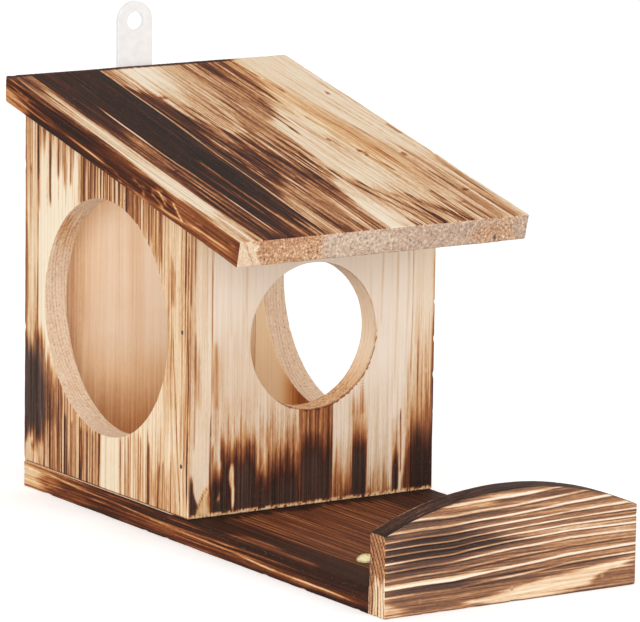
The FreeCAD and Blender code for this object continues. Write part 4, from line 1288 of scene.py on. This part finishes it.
def plated(name, colour, dull, metallic, roughness=0.38):
    """Plated steel, slightly clouded and brushed."""
    graph = Graph(name)
    place = graph.node("TexCoord").outputs["Object"]
    cloud = graph.noise(place, 260.0, 3.0)
    fine = graph.noise(place, 2600.0, 2.0)
    tint = graph.mix(graph.remap(cloud, 0.35, 0.7), colour, dull)
    rough = graph.fused(cloud, 0.14, roughness - 0.07)
    return graph.principled(tint, rough, graph.bump(fine, PLATE_BUMP, 0.4), Metallic=metallic)


def filled_heads(name, stops):
    """Nail heads touched up like the wood round them, from the left to the right of the board."""
    graph = Graph(name)
    place = graph.node("TexCoord").outputs["Object"]
    share = graph.fused(graph.dot(place, X), 0.5 / (HALF_WIDTH * MM), 0.5)
    grit = graph.noise(place, 1500.0, 3.0, 0.7)
    share = graph.fused(graph.centred(grit), 0.2, share)
    normal = graph.bump(grit, FILLER_BUMP, 0.5)
    return graph.principled(graph.ramp(share, stops), 0.75, normal, Specular_IOR_Level=WOOD_SHINE)


# Pieces

ROOF_UNDERSIDE = ROOF_FRONT_EDGE @ OUT_OF_ROOF
roof_planes = [
    (-X, ROOF_HALF),
    (X, ROOF_HALF),
    (Y, BOX_BACK),
    (-ALONG_ROOF, -(ROOF_FRONT_EDGE @ ALONG_ROOF)),
    (OUT_OF_ROOF, ROOF_UNDERSIDE + BOARD),
    (-OUT_OF_ROOF, -ROOF_UNDERSIDE),
]

# Mesh, worn shape, paint and wood of each board. Bare numbers are sizes of quads in millimetres and seeds
thin = spread(BOARD, 0.42)
wide = spread(2 * HALF_WIDTH, 0.8) - HALF_WIDTH

boards = {
    "roof_board": (
        block(spread(2 * ROOF_HALF, 0.55) - ROOF_HALF, spread(ROOF_LENGTH, 1.8), thin, roof_points),
        shaped(roof_planes, 1, usual=0.9),
        paint_roof,
        flamed_wood("roof_wood", ALONG_ROOF, X, 3.0),
    ),
    "base_board": (
        block(wide, spread(BASE_HIGH[1] - BASE_LOW[1], 3.0) + BASE_LOW[1], thin, base_points),
        shaped(wall_planes(BASE_LOW, BASE_HIGH, False) + [(Z, BASE_HIGH[2])], 11),
        paint_base,
        flamed_wood("base_wood", Y, X, 11.0),
    ),
    "tray_rail": (
        block(spread(2 * HALF_WIDTH, 1.6) - HALF_WIDTH, spread(RAIL_HEIGHT, 0.42), thin, rail_points),
        shaped(wall_planes(RAIL_LOW, RAIL_HIGH, False), 21, arc=(RAIL_HEIGHT - RAIL_RADIUS, RAIL_RADIUS)),
        paint_rail,
        flamed_wood("rail_wood", X, Z, 17.0, 0.25, 0.5, True),
    ),
    "back_wall": (
        block(wide, spread(BACK_HEIGHT, 3.0), thin, back_points),
        shaped(wall_planes(BACK_LOW, BACK_HIGH), 31),
        paint_back_wall,
        flamed_wood("back_wood", Z, X, 23.0),
    ),
    "front_wall": (
        drilled(
            front_outline(BOX_FRONT),
            front_outline(BOX_FRONT + BOARD),
            (0.5, 1.8),
            ENTRANCE,
            4.0,
            lambda u, v, d: np.stack([u, BOX_FRONT + d, v], -1),
            BOARD,
            (26, 8),
        ),
        shaped(
            wall_planes(FRONT_LOW, FRONT_HIGH),
            41,
            hole=(np.array([ENTRANCE[0], 0, ENTRANCE[1]]), Y, ENTRANCE[2]),
            usual=0.6,
        ),
        paint_front_wall,
        flamed_wood("front_wood", Z, X, 29.0),
    ),
}
for side, node in ((-1, "left_wall"), (1, "right_wall")):
    low, high = box_mm(node)
    boards[node] = (
        drilled(
            side_outline(),
            side_outline(),
            (0.55, 1.3),
            WINDOW,
            3.0,
            lambda u, v, d, side=side: np.stack([side * (HALF_WIDTH - d), u, v], -1),
            BOARD,
            (30, 8),
        ),
        shaped(
            wall_planes(low, high),
            51 + 10 * side,
            hole=(np.array([0, WINDOW[0], WINDOW[1]]), X, WINDOW[2]),
            usual=0.6,
        ),
        paint_side_wall(side),
        flamed_wood(f"{node}_wood", Z, Y, 37.0 + 5 * side),
    )

for node, (mesh, shape, paint, material) in boards.items():
    piece = as_object(f"{node}_flamed", mesh, shape, paint)
    piece.data.materials.append(material)
    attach(piece, "root")
    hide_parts(node)

zinc = plated("zinc_plate", srgb(238, 238, 238), srgb(232, 232, 233), metallic=0.2)
yellow_zinc = plated("yellow_zinc_plate", srgb(246, 236, 182), srgb(206, 196, 140), metallic=0.3)
wire = plated("nail_wire", srgb(96, 84, 74), srgb(58, 46, 40), metallic=0.5, roughness=0.5)
ROOF_FILLER = ((0.0, (84, 62, 52)), (0.45, (84, 62, 52)), (0.6, (228, 206, 180)))
RAIL_FILLER = ((0.0, (148, 104, 78)), (0.4, (196, 154, 118)), (0.6, (196, 154, 118)), (0.8, (176, 130, 92)))
FINISHES = {
    "hanger_plate": zinc,
    "hanger_screws": zinc,
    "platform_screw": yellow_zinc,
    "roof_brads": filled_heads("roof_filler", ROOF_FILLER),
    "rail_brads": filled_heads("rail_filler", RAIL_FILLER),
}
for node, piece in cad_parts.items():
    if node in boards:
        continue
    piece.data.materials.clear()
    piece.data.materials.append(FINISHES.get(node, wire))

# Floor, light and camera

WHITE = (1, 1, 1, 1)
FLOOR_REACH, FLOOR_GLOW = 6.0, 0.35
# Strength of the world's light on the scene, and its brightness where the camera sees it
SKY_LIGHT, SKY_SEEN = 0.72, 1.0

graph = Graph("studio_floor")
matt = graph.node("BsdfDiffuse", {"Color": srgb(250, 250, 250)}).outputs[0]
strength = graph.times(graph.seen(), FLOOR_GLOW)
glow = graph.node("Emission", {"Color": WHITE, "Strength": strength}).outputs[0]
floor_material = graph.finish(graph.node("AddShader", {0: matt, 1: glow}).outputs[0])

corners = [(FLOOR_REACH * x, FLOOR_REACH * y, 0) for x, y in ((-1, -1), (1, -1), (1, 1), (-1, 1))]
floor_data = bpy.data.meshes.new("studio_floor")
floor_data.from_pydata(corners, [], [(0, 1, 2, 3)])
floor_data.materials.append(floor_material)
studio_floor = bpy.data.objects.new("studio_floor", floor_data)
bpy.context.scene.collection.objects.link(studio_floor)

graph = Graph("studio", "World")
strength = graph.remap(graph.seen(), 0.0, 1.0, SKY_LIGHT, SKY_SEEN, smooth_step=False)
sky = graph.node("Background", {"Color": WHITE, "Strength": strength}).outputs[0]
bpy.context.scene.world = graph.finish(sky)


def softbox(name, place, target, size, power):
    """Square area light that looks at a point."""
    data = bpy.data.lights.new(name, "AREA")
    data.size = size
    data.energy = power
    light = bpy.data.objects.new(name, data)
    light.location = place
    light.rotation_euler = (Vector(target) - Vector(place)).to_track_quat("-Z", "Y").to_euler()
    bpy.context.scene.collection.objects.link(light)
    return light


softbox("key_light", (-1.9, -2.3, 0.8), (0, 0, 0.1), 1.8, 44)
softbox("fill_light", (1.8, -1.6, 1.2), (0, 0, 0.1), 1.8, 8)
# Light that the pale inside of the box reflects
inside_light = softbox("inside_light", (0, 0.078, 0.158), (0, 0.078, 0), 0.08, 0.04)
inside_light.visible_camera = False

# Camera that was fitted to the picture: its place in metres, its turns and its focal length
CAMERA_PLACE = (-1.307788, -1.998901, 0.547570)
YAW, PITCH, ROLL = (math.radians(v) for v in (33.177, -10.596, 0.794))
FOCAL_PX, PICTURE_WIDTH_PX, SENSOR_MM = 5494.96, 640, 36

forward = Vector((math.sin(YAW) * math.cos(PITCH), math.cos(YAW) * math.cos(PITCH), math.sin(PITCH)))
level_right = Vector((math.cos(YAW), -math.sin(YAW), 0))
level_up = level_right.cross(forward)
right = math.cos(ROLL) * level_right + math.sin(ROLL) * level_up
up = right.cross(forward)
camera_data = bpy.data.cameras.new("camera")
camera_data.sensor_fit = "HORIZONTAL"
camera_data.sensor_width = SENSOR_MM
camera_data.lens = FOCAL_PX * SENSOR_MM / PICTURE_WIDTH_PX
camera_data.clip_start, camera_data.clip_end = 0.1, 30
camera = bpy.data.objects.new("camera", camera_data)
turn = Matrix((right, up, -forward)).transposed().to_4x4()
camera.matrix_world = Matrix.Translation(CAMERA_PLACE) @ turn
bpy.context.scene.collection.objects.link(camera)
bpy.context.scene.camera = camera

bpy.context.scene.view_settings.view_transform = "Standard"

bpy.context.view_layer.update()
